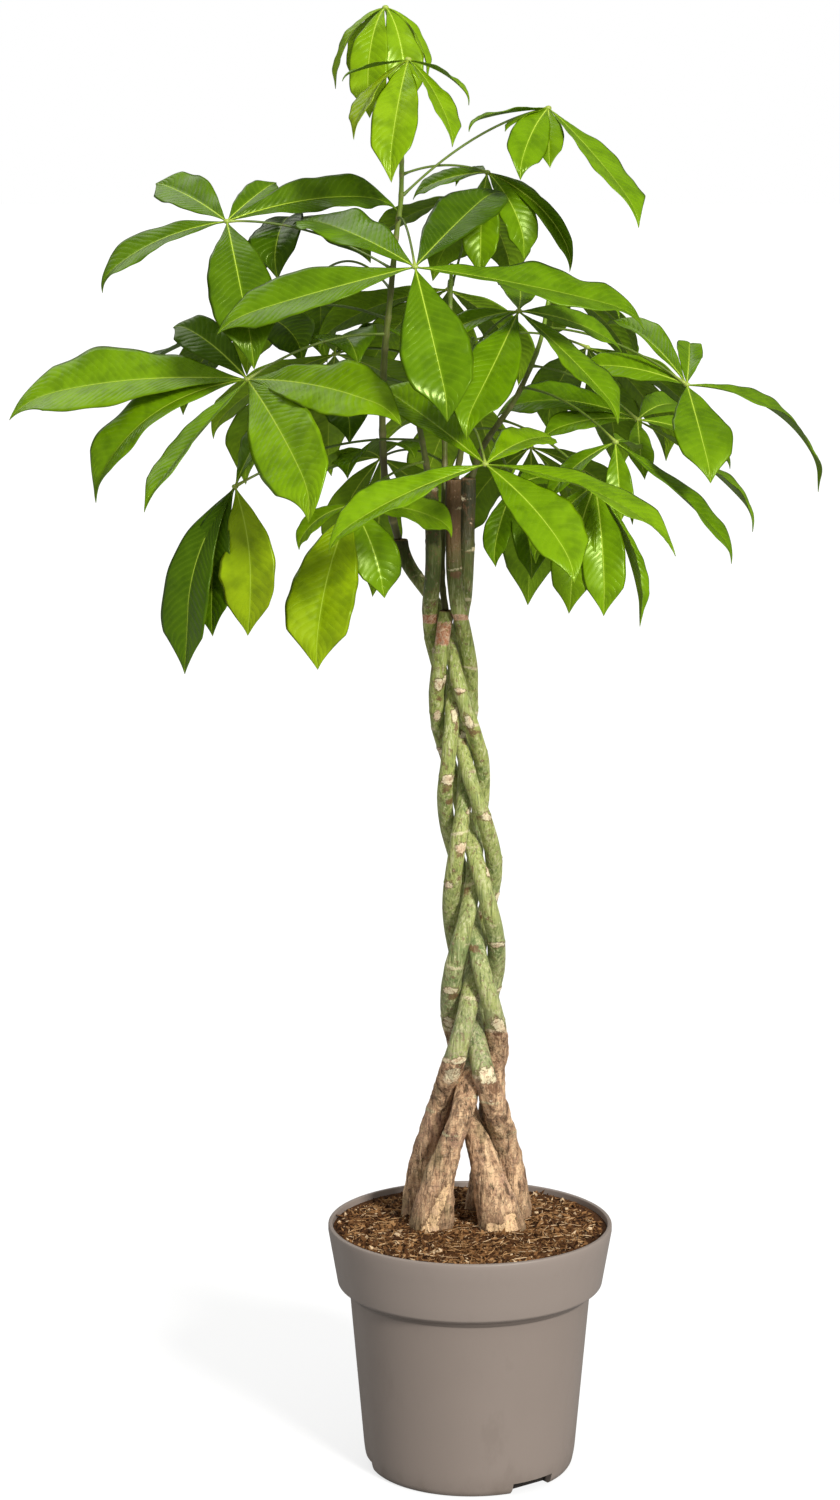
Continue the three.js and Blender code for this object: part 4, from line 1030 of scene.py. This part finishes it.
def trunk_line(place, feet, top, heights):
    """Middle of a trunk at each height: below the join, on a smooth line through its foot's places."""
    z = np.asarray(heights, float)
    joined = braid_line(place, top, np.array([JOIN_Z, JOIN_Z + JOIN_STEP], float))
    knots = np.concatenate([[(x, y, height) for height, x, y in feet], joined])
    slopes = np.concatenate([knots[1:2] - knots[:1], knots[2:] - knots[:-2], knots[-1:] - knots[-2:-1]])
    slopes = slopes / slopes[:, 2:]
    above = np.clip(np.searchsorted(knots[:, 2], z, side="right"), 1, len(knots) - 2)
    rise = (knots[above, 2] - knots[above - 1, 2])[:, None]
    share = (z[:, None] - knots[above - 1, 2:]) / rise
    foot = knots[above - 1] + (knots[above] - knots[above - 1]) * share * share * (3 - 2 * share)
    foot = foot + slopes[above - 1] * rise * share * (1 - share) ** 2
    foot = foot - slopes[above] * rise * share**2 * (1 - share)
    foot[:, 2] = z
    return np.where(z[:, None] < JOIN_Z, foot, braid_line(place, top, np.maximum(z, JOIN_Z)))


def trunk_radius(name, heights):
    radius = read_at(TRUNK_RADII, heights) * read_at(STRAND_SWELL, heights)
    radius = radius * (1 + FOOT_FLARE.get(name, 0) * smooth((FLARE_TOP - heights) / FLARE_SPAN))
    if name in SLIM_FEET:
        radius = radius * (1 - SLIMNESS * hump((heights - SLIM_LEVEL) / SLIM_SPAN))
    return radius


def node_levels(name, top, rng):
    levels = [BARK_TOP[name]]
    while levels[-1] < top[2] - NODE_FREE_TOP:
        levels.append(levels[-1] + rng.uniform(*NODE_SPACING))
    return np.array([BARK_TOP[name] - drop for drop in FOOT_NODES] + levels)


def bend_at_nodes(line, name, levels, rng):
    heights = line[:, 2]
    top = heights[-1]
    kinks = rng.uniform(-1, 1, (len(levels), 2)) * NODE_KINK
    kinks[levels > top - STRAIGHT_TOP] = 0
    settle = smooth((heights - BARK_TOP[name] + 40) / 50) * smooth((top - 8 - heights) / 30)
    for axis in (0, 1):
        line[:, axis] += np.interp(heights, levels, kinks[:, axis]) * settle


class Bark:
    """What each point of a trunk carries. A spot is a height, a turn, a width, how tall it is and, for a
    peeled patch, how far its middle drifts sideways up the patch."""

    def __init__(self, z, around, radius):
        self.z = z
        self.around = around
        self.radius = radius
        self.kinds = {kind: np.zeros_like(around) for kind in ("scar", "ridge", "node", "blotch", "ring")}

    def lay(self, kind, amount):
        self.kinds[kind] = np.maximum(self.kinds[kind], amount)

    def facing(self, side):
        return 0.5 + 0.5 * np.cos((self.around - side) * DEG)

    def away(self, height, middle, width, tall, drift=0):
        """How far upwards and sideways each point is from a spot's middle, 1 at its edge."""
        turn = (self.around - middle + 180) % 360 - 180
        along = (self.z - height) / (tall / 2)
        return along, (turn * DEG * self.radius - drift * along) / (width / 2)

    def oval(self, *spot):
        along, aside = self.away(*spot)
        return np.exp(-((along**2 + aside**2) ** 1.5) * SPOT_EDGE)

    def peel(self, *spot):
        along, aside = self.away(*spot)
        self.lay("scar", np.exp(-(along**4 + aside**4) * SPOT_EDGE))

    def grow_node(self, level, side, rng):
        lean = rng.uniform(-NODE_LEAN, NODE_LEAN)
        off = self.z - (level + lean * np.sin((self.around - side) * DEG))
        facing = self.facing(side)
        strength = rng.uniform(*NODE_STRENGTH)
        self.lay("node", hump(off / rng.uniform(*NODE_THICKNESS)) * strength * (0.35 + 0.65 * facing))
        self.lay("ridge", hump(off / RIDGE_THICKNESS) * strength * (0.3 + 0.7 * facing))
        self.lay("ridge", 0.5 * hump(off / SWELLING_THICKNESS) * strength)
        if rng.uniform() < BLOTCH_CHANCE:
            drop, width, tall, depth = (rng.uniform(*size) for size in BLOTCH_SIZES)
            self.lay("blotch", self.oval(level - drop, side, width, tall) * depth)

    def grow_scar(self, height, side, width, tall, rng):
        """A scar with a brown blotch below it and a ridge over it."""
        self.lay("scar", self.oval(height, side, width, tall))
        below = self.oval(height - 0.8 * tall, side + rng.uniform(-30, 30), width * 0.9, tall * 1.3)
        self.lay("blotch", below * rng.uniform(0.4, 1.0))
        over = hump((self.z - height - 0.35 * tall) / 1.8)
        self.lay("ridge", over * smooth(self.facing(side) * 1.3 - 0.1))

    def grow_ring(self, level, tall):
        self.lay("ring", np.exp(-(np.abs((self.z - level) / (tall / 2)) ** 4)))


def furrows(heights, turn, radius, brown, shift):
    """The brown bark's relief."""
    grain = np.zeros((len(heights), len(turn)))
    for i, level in enumerate(heights):
        if brown[i, 0] < 0.02:
            continue
        for j, degrees in enumerate(turn):
            x, y, _ = turned(degrees) * radius[i] / FURROW_WIDTH + shift
            for fine, tall, depth in FURROWS:
                grain[i, j] += noise.noise(Vector((x * fine, y * fine, level / tall))) * depth
    return grain


def make_trunk(name, place, feet, top, number):
    rng = np.random.default_rng(SEED + number)
    heights = np.linspace(TRUNK_FOOT_Z, top[2], int((top[2] - TRUNK_FOOT_Z) / TRUNK_STEP) + 1)
    line = trunk_line(place, feet, top, heights)
    radius = trunk_radius(name, heights)
    turn = 360 * np.arange(TRUNK_SIDES) / TRUNK_SIDES
    z = heights[:, None]
    around = turn + 0 * z
    levels = node_levels(name, top, rng)
    bend_at_nodes(line, name, levels, rng)
    grown = Bark(z, around, radius[:, None])
    scars = list(SCARS[name])
    side = rng.uniform(0, 360)
    for level in levels:
        side += rng.uniform(*NODE_TURN)
        grown.grow_node(level, side, rng)
        if abs(side % 360 - 270) > SCAR_FREE_TURN and level > BRAID_SCAR_Z:
            scars.append((level + 2, side % 360, *(rng.uniform(*size) for size in SCAR_SIZES)))
    for spot in scars:
        grown.grow_scar(*spot, rng)
    for spot in PEELS.get(name, ()):
        grown.peel(*spot)
    for spot in RINGS.get(name, ()):
        grown.grow_ring(*spot)
    scar, ridge, node, blotch, ring = grown.kinds.values()
    brown = smooth((BARK_TOP[name] + BARK_FADE / 2 - z) / BARK_FADE) + 0 * around
    phases = rng.uniform(0, TURN, 6)
    lumps = np.sin(around * DEG * 2 + z / 31 + phases[0]) + np.sin(around * DEG * 3 - z / 47 + phases[1])
    lumps = lumps + np.sin(z / 19 + phases[2] + np.sin(around * DEG + phases[3]))
    swell = sum(share * kind for share, kind in zip(RELIEF, (lumps, ridge, scar, ring)))
    grain = furrows(heights, turn, radius, brown, rng.uniform(0, 50, 3))
    reach = radius[:, None] + swell + brown * (grain * BARK_RELIEF[0] + BARK_RELIEF[1] * lumps)
    # The sawn top: a rounded edge, then the cut face.
    out = np.stack([np.cos(turn * DEG), np.sin(turn * DEG), 0 * turn], -1)
    rings = line[:, None] + out * reach[..., None]
    rings[-1] = line[-1] + out * (reach[-1] - CUT_EDGE)[:, None]
    face = [line[-1] + out * (reach[-1] * share)[:, None] + UP * rise for share, rise in CUT_FACE]
    rings = np.concatenate([rings, face])
    cut = np.zeros(rings.shape)
    for k, share in enumerate([1] + [share for share, _ in CUT_FACE]):
        cut[len(heights) - 1 + k, :, :2] = (1, share)
    bare = np.zeros((len(CUT_FACE), TRUNK_SIDES, 3))
    bark = np.concatenate([np.stack([scar, ring, brown], -1), bare])
    marks = np.concatenate([np.stack([node, blotch, 0 * node], -1), bare])
    skin = Skin("bark", "face", "marks", "tint")
    skin.add_tube(rings, bark=bark, face=cut, marks=marks, tint=(*UPPER_TINT[name], 0))
    place_piece(skin.object("stem_" + name[6:], TRUNK), name)


# ---------- soil ----------


def soil_height(r, turn):
    share = np.minimum(r, SOIL_OUTER_RING) / SOIL_OUTER_RING
    inner = SOIL_CENTRE_Z + (SOIL_EDGE_Z - SOIL_CENTRE_Z) * share**2
    for lobes, twist, first in SOIL_BUMPS:
        inner = inner + SOIL_BUMP * np.sin(lobes * turn + twist * r + first)
    out = np.clip((r - SOIL_OUTER_RING) / (SOIL_EDGE_RADIUS - SOIL_OUTER_RING), 0, 1)
    return inner + (SOIL_EDGE_Z - inner) * out


def feet():
    """Middles of the trunks where they enter the soil."""
    level = np.array([SOIL_CENTRE_Z - 2.0])
    return [trunk_line(place, path, top, level)[0, :2] for _, place, path, top in TRUNKS]


def hollow(x, y):
    """Depth of the gap in the soil round each foot."""
    depth = np.zeros_like(x)
    for foot in feet():
        away = np.hypot(x - foot[0], y - foot[1]) - HOLLOW_RADIUS
        depth = np.maximum(depth, HOLLOW_DEPTH * hump(np.maximum(away, 0) / HOLLOW_SPAN))
    return depth


def soil_surface(x, y):
    r = np.hypot(x, y)
    rough = np.array([
        sum(noise.noise(Vector((a / size, b / size, place))) * tall for size, place, tall in SOIL_CLODS)
        for a, b in zip(x, y)
    ])
    inside = np.clip((SOIL_EDGE_RADIUS - r) / CALM_EDGE, 0, 1)
    return soil_height(r, np.arctan2(y, x)) + (rough - hollow(x, y)) * inside


def room_beside_housings(turn):
    """How far out the filling may reach at each turn, below the tops of the notch housings."""
    free = np.full(len(turn), 1000.0)
    for degrees in NOTCH_TURNS:
        off = turn - degrees * DEG
        beside = np.abs(np.sin(off)) * BODY_FOOT[0] < NOTCH_WIDTH / 2 + WALL + HOUSING_ROOM
        reach = (NOTCH_FACE - WALL - SOIL_GAP) / np.maximum(np.cos(off), 0.1)
        free = np.where(beside & (np.cos(off) > 0), np.minimum(free, reach), free)
    return free


def make_soil():
    rng = np.random.default_rng(SEED + 20)
    way = circle(SOIL_SIDES)
    free = room_beside_housings(TURN * np.arange(SOIL_SIDES) / SOIL_SIDES)
    floor = [(r, z + SOIL_GAP) for r, z in floor_profile(FLOOR_THICKNESS)][1:]
    floor.append((FOOT_RADIUS - WALL - SOIL_GAP, FLOOR_THICKNESS + SOIL_GAP))
    wall = [(r - WALL - SOIL_GAP, z) for r, z in (BODY_FOOT, BODY_TOP, BAND_FOOT)]
    housing_top = NOTCH_HEIGHT + WALL + SOIL_GAP
    share = (housing_top - FLOOR_THICKNESS) / (BODY_FOOT[1] - FLOOR_THICKNESS)
    side = floor[-1][0] + (wall[0][0] - floor[-1][0]) * share
    rings = [way * np.minimum(r, free)[:, None] + UP * z for r, z in floor + [(side, housing_top)]]
    rings += [way * r + UP * z for r, z in [(side, housing_top + SOIL_STEP)] + wall]
    for r in np.linspace(SOIL_EDGE_RADIUS, SOIL_INNER_RADIUS, SOIL_TOP_RINGS):
        ring = way * r
        rings.append(ring + UP * soil_surface(ring[:, 0], ring[:, 1])[:, None])
    rings = np.array(rings)
    x, y, _ = with_ends(rings).T
    depth = hollow(x, y)
    # The second value darkens the soil all over, and more in the hollow round each foot as painted shade.
    paint = np.stack([0.26 + 0.05 * np.sin(x * 0.31) * np.cos(y * 0.27), 0.25 + depth / 3.4, 0 * depth], -1)
    skin = Skin("growth")
    skin.add_tube(rings, growth=paint)
    scatter_crumbs(skin, rng)
    scatter_fibres(skin, rng)
    soil = skin.object("potting_soil", SOIL)
    soil.data.set_sharp_from_angle(angle=SOIL_CREASE * DEG)
    place_piece(soil, "soil")


def free_spots(rng, count, margin):
    r = np.sqrt(rng.uniform(0, 1, count)) * (SOIL_EDGE_RADIUS - margin)
    turn = rng.uniform(0, TURN, count)
    x = r * np.cos(turn)
    y = r * np.sin(turn)
    return x, y, soil_surface(x, y)


def scatter_crumbs(skin, rng):
    """Angular crumbs of bark and peat, and a few pale flecks, half sunk in the surface."""
    x, y, z = free_spots(rng, CRUMBS, CRUMB_MARGIN)
    corners = np.array([(1, 0, 0), (0, 1, 0), (-1, 0, 0), (0, -1, 0), (0, 0, 1), (0, 0, -1)], float)
    faces = np.array([(0, 1, 4), (1, 2, 4), (2, 3, 4), (3, 0, 4), (1, 0, 5), (2, 1, 5), (3, 2, 5), (0, 3, 5)])
    smallest, spread, power = CRUMB_SIZES
    size = smallest + spread * rng.uniform(0, 1, CRUMBS) ** power
    kind = rng.uniform(0, 1, CRUMBS)
    for i in range(CRUMBS):
        stretch = np.array([rng.uniform(*limits) for limits in CRUMB_STRETCH]) * size[i]
        body = corners * rng.uniform(0.65, 1.2, (6, 1)) * stretch
        spin = Vector(rng.uniform(-1, 1, 3)).normalized().to_track_quat("X", "Z").to_matrix()
        body = body @ np.array(spin).T
        tone = 0.05 + 0.68 * kind[i] if kind[i] < FLECKS_FROM else 0.95
        body = body + (x[i], y[i], z[i] + 0.25 * size[i])
        skin.add(body, triangles=faces, growth=(tone, 0.35 * (1 - kind[i]), 1))


def scatter_fibres(skin, rng):
    """Coir fibres lying on the soil, and one thin root beside the left feet."""
    x, y, z = free_spots(rng, FIBRES, FIBRE_MARGIN)
    share = np.linspace(-0.5, 0.5, 6)
    for i in range(FIBRES):
        length = rng.uniform(*FIBRE_LENGTHS)
        heading = rng.uniform(0, 360)
        bend = rng.uniform(-0.5, 0.5) * length
        out = turned(heading)
        side = turned(heading + 90)
        line = out * (share * length)[:, None] + side * (bend * share**2)[:, None]
        line = line + UP * (rng.uniform(-0.18, 0.18) * share * length)[:, None]
        line = line + (x[i], y[i], z[i] + rng.uniform(0.5, 1.7))
        radius = rng.uniform(*FIBRE_RADII) * (1 - 1.2 * share**2)
        skin.add_tube(tube(line, radius, 4), growth=(rng.uniform(0.25, 0.95), 0.0, 1))
    path = centripetal(ROOT_PATH, ROOT_STEPS)
    path[:, 2] = soil_surface(path[:, 0], path[:, 1]) + 1.0
    skin.add_tube(tube(path, np.linspace(*ROOT_RADII, ROOT_STEPS), 8), growth=(0.8, 0.0, 1))


# ---------- shoots ----------


def shoot_marks(name, points, rng):
    """Heights of the leaf rings on a shoot: where its leaves stand, and where others have stood."""
    marks = [leaf[2] for leaf in LEAVES if leaf[1] == name]
    level = points[0][2] + SHOOT_BARE[0]
    while level < points[-1][2] - SHOOT_BARE[1]:
        if all(abs(level - mark) > SHOOT_MARK_ROOM for mark in marks):
            marks.append(level)
        level += rng.uniform(*SHOOT_MARKS)
    return marks


def make_shoot(name, number):
    rng = np.random.default_rng(SEED + 40 + number)
    (thick, thin), points = SHOOTS[name]
    rough_length = sum(np.linalg.norm(np.subtract(b, a)) for a, b in zip(points, points[1:]))
    count = int(rough_length / SHOOT_STEP)
    line = centripetal(points, count)
    share = np.linspace(0, 1, count)
    swell = np.zeros(count)
    scar = np.zeros(count)
    for mark in shoot_marks(name, points, rng):
        swell = np.maximum(swell, hump((line[:, 2] - mark) / 3.5))
        scar = np.maximum(scar, hump((line[:, 2] - mark + 1) / 1.6))
    radius = (thick + (thin - thick) * share) * SHOOT_SLIMNESS * (1 + SHOOT_SWELL * swell)
    line[0, 2] -= SHOOT_SINK
    turn = TURN * np.arange(SHOOT_SIDES) / SHOOT_SIDES
    patchy = 0.5 + 0.5 * np.sin(turn + 9.1 * line[:, 2:] / 20)
    skin = Skin("bark")
    skin.add_tube(tube(line, radius, SHOOT_SIDES),
                  bark=np.stack([scar[:, None] * patchy, 0 * patchy, share[:, None] + 0 * patchy], -1))
    place_piece(skin.object("green_" + name, SHOOT), name)


# ---------- leaves ----------


def leaflet_half_width(t):
    widest = LEAFLET_RISE / (LEAFLET_RISE + LEAFLET_FALL)
    tip = 1 - TIP_SLIMMING * past_tip_start(t) ** TIP_POWER
    return (t / widest) ** LEAFLET_RISE * ((1 - t) / (1 - widest)) ** LEAFLET_FALL * tip


def past_tip_start(t):
    return np.clip((t - TIP_START) / (1 - TIP_START), 0, 1)


def rotated(vector, axis, degrees):
    c = math.cos(degrees * DEG)
    s = math.sin(degrees * DEG)
    return vector * c + np.cross(axis, vector) * s + axis * axis.dot(vector) * (1 - c)


def spine(leaf, turn, length, droop, roll, rng):
    """Shares along a drooping leaflet, its midrib's points, and the directions across and up at each."""
    name, _, _, hub, (lean_turn, tilt), lift = leaf[:6]
    lean = turned(lean_turn)
    hinge = np.array([-lean[1], lean[0], 0.0])
    normal = rotated(UP, hinge, tilt)
    flat = rotated(turned(turn), hinge, tilt)
    start = flat * math.cos(lift * DEG) + normal * math.sin(lift * DEG)
    above = normal * math.cos(lift * DEG) - flat * math.sin(lift * DEG)
    side = np.cross(above, start) * math.cos(roll * DEG) + above * math.sin(roll * DEG)
    rise = math.asin(start[2])
    outward = unit(np.array([start[0], start[1], 0.0]))
    level = np.array([-outward[1], outward[0], 0.0])
    side_level = side.dot(level)
    side_upright = side.dot(UP * math.cos(rise) - outward * math.sin(rise))
    curl = rng.uniform(*TIP_CURL)
    steps = int(np.clip(length / ROW_LENGTH, *ROW_LIMITS))
    t = np.arange(steps + 1) / steps

    def angle_at(share):
        fall = droop * share ** DROOP_POWERS.get(name, DROOP_POWER)
        fall = fall + curl * np.clip((share - CURL_START) / CURL_SPAN, 0, 1) ** 1.6
        return np.maximum(rise - fall * DEG, min(rise, STEEPEST * DEG))

    def ahead(angle):
        return np.sin(angle)[:, None] * UP + np.cos(angle)[:, None] * outward

    middles = angle_at((np.arange(steps) + 0.5) / steps)
    points = np.concatenate([np.zeros((1, 3)), np.cumsum(ahead(middles) * length / steps, 0)]) + hub
    angle = angle_at(t)
    upright = np.cos(angle)[:, None] * UP - np.sin(angle)[:, None] * outward
    across = level * side_level + upright * side_upright
    up = np.cross(ahead(angle), across)
    # A little sway and twist of its own.
    sway = rng.uniform(-SWAY, SWAY) * length
    twist = (rng.uniform(-TWIST, TWIST) * DEG * t**2)[:, None]
    hook = rng.uniform(-HOOK, HOOK) * length
    drift = sway * np.sin(math.pi * t) + hook * np.clip((t - HOOK_START) / HOOK_SPAN, 0, 1) ** 2
    points = points + across * drift[:, None]
    return t, points, across * np.cos(twist) + up * np.sin(twist), up * np.cos(twist) - across * np.sin(twist)


def add_leaflet(skin, leaf, leaflet, rule, rng):
    youth = leaf[6]
    given = dict(enumerate(leaflet))
    turn, length, droop = leaflet[:3]
    narrow = given.get(4, 1.0)
    t, points, across, up = spine(leaf, turn, length, droop, given.get(3, rule), rng)

    # The blade's two halves: a narrow leaflet is partly folded along its midrib.
    fold = (LEAFLET_FOLD + FOLD_BY_NARROWNESS * max(0.0, 1 - narrow)) * DEG
    half = leaflet_half_width(t) * length * LEAFLET_WIDTH / 2 * narrow
    drawn, power = TIP_DRAWN
    half = half * (1 - drawn * past_tip_start(t) ** power) * math.cos(LEAFLET_FOLD * DEG) / math.cos(fold)
    half = np.maximum(half, 1.1 * (1 - t) ** 0.5 + 0.05)[:, None]
    u = COLUMNS[None, :]
    far = np.abs(u)
    row = t[:, None]
    vein = length / VEIN_SPACING * (row - VEIN_SLANT[0] * far - VEIN_SLANT[1] * far**2)
    vein = vein + VEIN_STAGGER * u * smooth(row * 6) + rng.uniform(0, 1)
    ends = smooth(row / 0.1) * smooth((1 - row) / 0.08)
    pucker = (PUCKER[0] + PUCKER[1] * youth) * min(1.0, length / PUCKER_LENGTH)
    puffs = pucker * (np.abs(np.sin(math.pi * vein)) ** 0.8 - 0.45) * np.sin(math.pi * far**0.8) ** 0.7 * ends
    bows = np.where(u > 0, rng.uniform(*BOW), rng.uniform(*BOW))
    arch = half * math.sin(fold) * bows * (1.45 * far - 0.55 * far**2)
    waves = 0.0
    margin = 0.0
    for sign in (1, -1):
        few, many = (TURN * rng.uniform(*count) * row for count in WAVES)
        phase, other = rng.uniform(0, TURN, 2)
        size = rng.uniform(*WAVE_HEIGHT)
        wave = size * np.sin(few + phase) + FINE_WAVE * np.sin(many + other)
        waves = waves + np.where(u * sign > 0, wave * half * far**2.2 * ends, 0.0)
        reach = rng.uniform(*MARGIN_DRIFT) + MARGIN_WAVES[0] * np.sin(few + other)
        reach = reach + MARGIN_WAVES[1] * np.sin(many + phase)
        margin = margin + np.where(u * sign > 0, reach * far * ends, 0.0)
    high = arch + puffs + waves
    wide = half * u * (1 + margin) * math.cos(fold)
    thick = BLADE_THICKNESS * np.sqrt(np.clip(1 - far**4, 0, 1))
    rib = hump(wide / RIB[0]) * RIB[1] * (1 - row) ** 0.7
    groove = hump(wide / GROOVE[0]) * GROOVE[1]

    def sheet(height):
        return points[:, None] + across[:, None] * wide[..., None] + up[:, None] * height[..., None]

    def both_sides(top, under):
        return np.concatenate([top, under[:, -2:0:-1]], 1)

    rings = both_sides(sheet(high + thick - groove), sheet(high - thick - rib))
    lamina = np.stack([far + 0 * row, vein, np.abs(wide)], -1)
    # A leaflet's tone: its leaf's youth and its own shift, which are partly painted light and shade.
    tone = np.clip(youth + rng.uniform(-TONE_SPREAD, TONE_SPREAD) + given.get(5, 0), 0, 1)
    yellow = leaflet[6] if len(leaflet) > 6 else rng.uniform(0, YELLOW_SPREAD)
    level = np.zeros(rings.shape[:2])
    slots = np.tile(np.arange(rings.shape[1]) >= len(COLUMNS) - 1, len(t) - 1).astype(int)
    skin.add_tube(rings, slot=1, quad_slots=slots, lamina=both_sides(lamina, lamina),
                  growth=np.stack([tone + level, yellow + level, row + level], -1))


def petiole_line(leaf):
    (thick, thin), points = SHOOTS[leaf[1]]
    curve = centripetal(points, PETIOLE_PLACES)
    nearest = int(np.argmin(np.abs(curve[:, 2] - leaf[2])))
    root = curve[nearest]
    hub = np.array(leaf[3], float)
    outward = unit((hub - root) * (1, 1, 0))
    start = root + outward * (thick + (thin - thick) * nearest / (PETIOLE_PLACES - 1))
    chord = hub - start
    crown = start + chord / 2 + UP * PETIOLE_RISE * np.linalg.norm(chord)
    t = np.linspace(0, 1, PETIOLE_STEPS)[:, None]
    bow = start * (1 - t) ** 2 + 2 * crown * t * (1 - t) + hub * t**2
    return np.concatenate([[root], bow])


def add_petiole(skin, leaf, rng):
    line = petiole_line(leaf)
    share = np.linspace(0, 1, len(line))
    swells = (more * hump((share - place) / span) for place, span, more in PETIOLE_SWELLS)
    radius = sum(swells, PETIOLE_RADIUS)
    level = np.zeros((len(line), PETIOLE_SIDES))
    skin.add_tube(tube(line, radius, PETIOLE_SIDES), slot=2,
                  growth=np.stack([leaf[6] + level, rng.uniform() + level, share[:, None] + level], -1))


def add_hub(skin, leaf):
    """A small flattened knob."""
    level = np.linspace(-HUB_END, HUB_END, HUB_ROWS)[:, None, None] * DEG
    knob = (np.cos(level) * circle(HUB_SIDES) + np.sin(level) * HUB_FLATNESS * UP) * HUB_SIZE
    skin.add_tube(knob + np.array(leaf[3]), slot=2, growth=(leaf[6], 0.5, 1.0))


def make_leaf(leaf, number):
    rng = np.random.default_rng(SEED + 100 + number)
    skin = Skin("lamina", "growth")
    add_petiole(skin, leaf, rng)
    add_hub(skin, leaf)
    for place, leaflet in enumerate(leaf[7]):
        rule = LEAFLET_ROLL * math.sin(ROLL_BY_LEAF * number + ROLL_BY_LEAFLET * place)
        add_leaflet(skin, leaf, leaflet, rule, rng)
    place_piece(skin.object("palmate_" + leaf[0], LEAF_TOP, LEAF_UNDER, STALK), leaf[0])


# ---------- the whole plant ----------

make_pot()
make_soil()
for number, trunk in enumerate(TRUNKS):
    make_trunk(*trunk, number)
for number, name in enumerate(SHOOTS):
    make_shoot(name, number)
for number, leaf in enumerate(LEAVES):
    make_leaf(leaf, number)

# ---------- floor, light and camera ----------


def make_floor():
    mesh = bpy.data.meshes.new("floor")
    corners = [(x * FLOOR_SIZE, y * FLOOR_SIZE, 0) for x, y in ((-1, -1), (1, -1), (1, 1), (-1, 1))]
    mesh.from_pydata(corners, [], [(0, 1, 2, 3)])
    g = Graph("floor")
    seen = g.node("LightPath").outputs["Is Camera Ray"]
    mesh.materials.append(g.finish(Base_Color=(FLOOR_GREY,) * 3, Roughness=0.9, Specular_IOR_Level=0.0,
                                   Emission_Color=(FLOOR_GLOW,) * 3, Emission_Strength=seen))
    linked("floor", mesh)


def make_sun(name, place, strength, angle, color):
    """A soft distant light that shines from a place towards the plant."""
    data = bpy.data.lights.new(name, "SUN")
    data.energy = strength
    data.angle = angle * DEG
    data.color = color
    light = linked(name, data)
    light.location = place
    light.rotation_euler = (-Vector(place)).to_track_quat("-Z", "Y").to_euler()


def make_world():
    """Soft light from all round, in front of a white backdrop."""
    world = bpy.data.worlds.new("studio")
    world.use_nodes = True
    tree = world.node_tree
    room = tree.nodes["Background"]
    dim = tree.nodes.new("ShaderNodeBackground")
    backdrop = tree.nodes.new("ShaderNodeBackground")
    for light, strength in ((room, ROOM_LIGHT), (dim, ROOM_GLOSS), (backdrop, BACKDROP_LIGHT)):
        light.inputs[0].default_value = (1.0, 1.0, 1.0, 1.0)
        light.inputs[1].default_value = strength
    seen = tree.nodes.new("ShaderNodeLightPath")
    lit = room
    for ray, light in (("Is Glossy Ray", dim), ("Is Camera Ray", backdrop)):
        mix = tree.nodes.new("ShaderNodeMixShader")
        for source, socket in ((seen.outputs[ray], 0), (lit.outputs[0], 1), (light.outputs[0], 2)):
            tree.links.new(source, mix.inputs[socket])
        lit = mix
    tree.links.new(lit.outputs[0], tree.nodes["World Output"].inputs[0])
    bpy.context.scene.world = world


def make_camera():
    data = bpy.data.cameras.new("camera")
    data.sensor_width = SENSOR
    data.lens = SENSOR * FOCAL_PIXELS / PHOTO_HEIGHT
    data.clip_end = FAR_CLIP
    camera = linked("camera", data)
    camera.location = CAMERA_PLACE
    camera.rotation_euler = ((90 - CAMERA_DOWN) * DEG, 0, 0)
    bpy.context.scene.camera = camera


make_floor()
make_world()
for light in SUNS:
    make_sun(*light)
make_camera()
bpy.context.scene.view_settings.view_transform = "Standard"
bpy.context.scene.view_settings.look = "None"

bpy.context.view_layer.update()
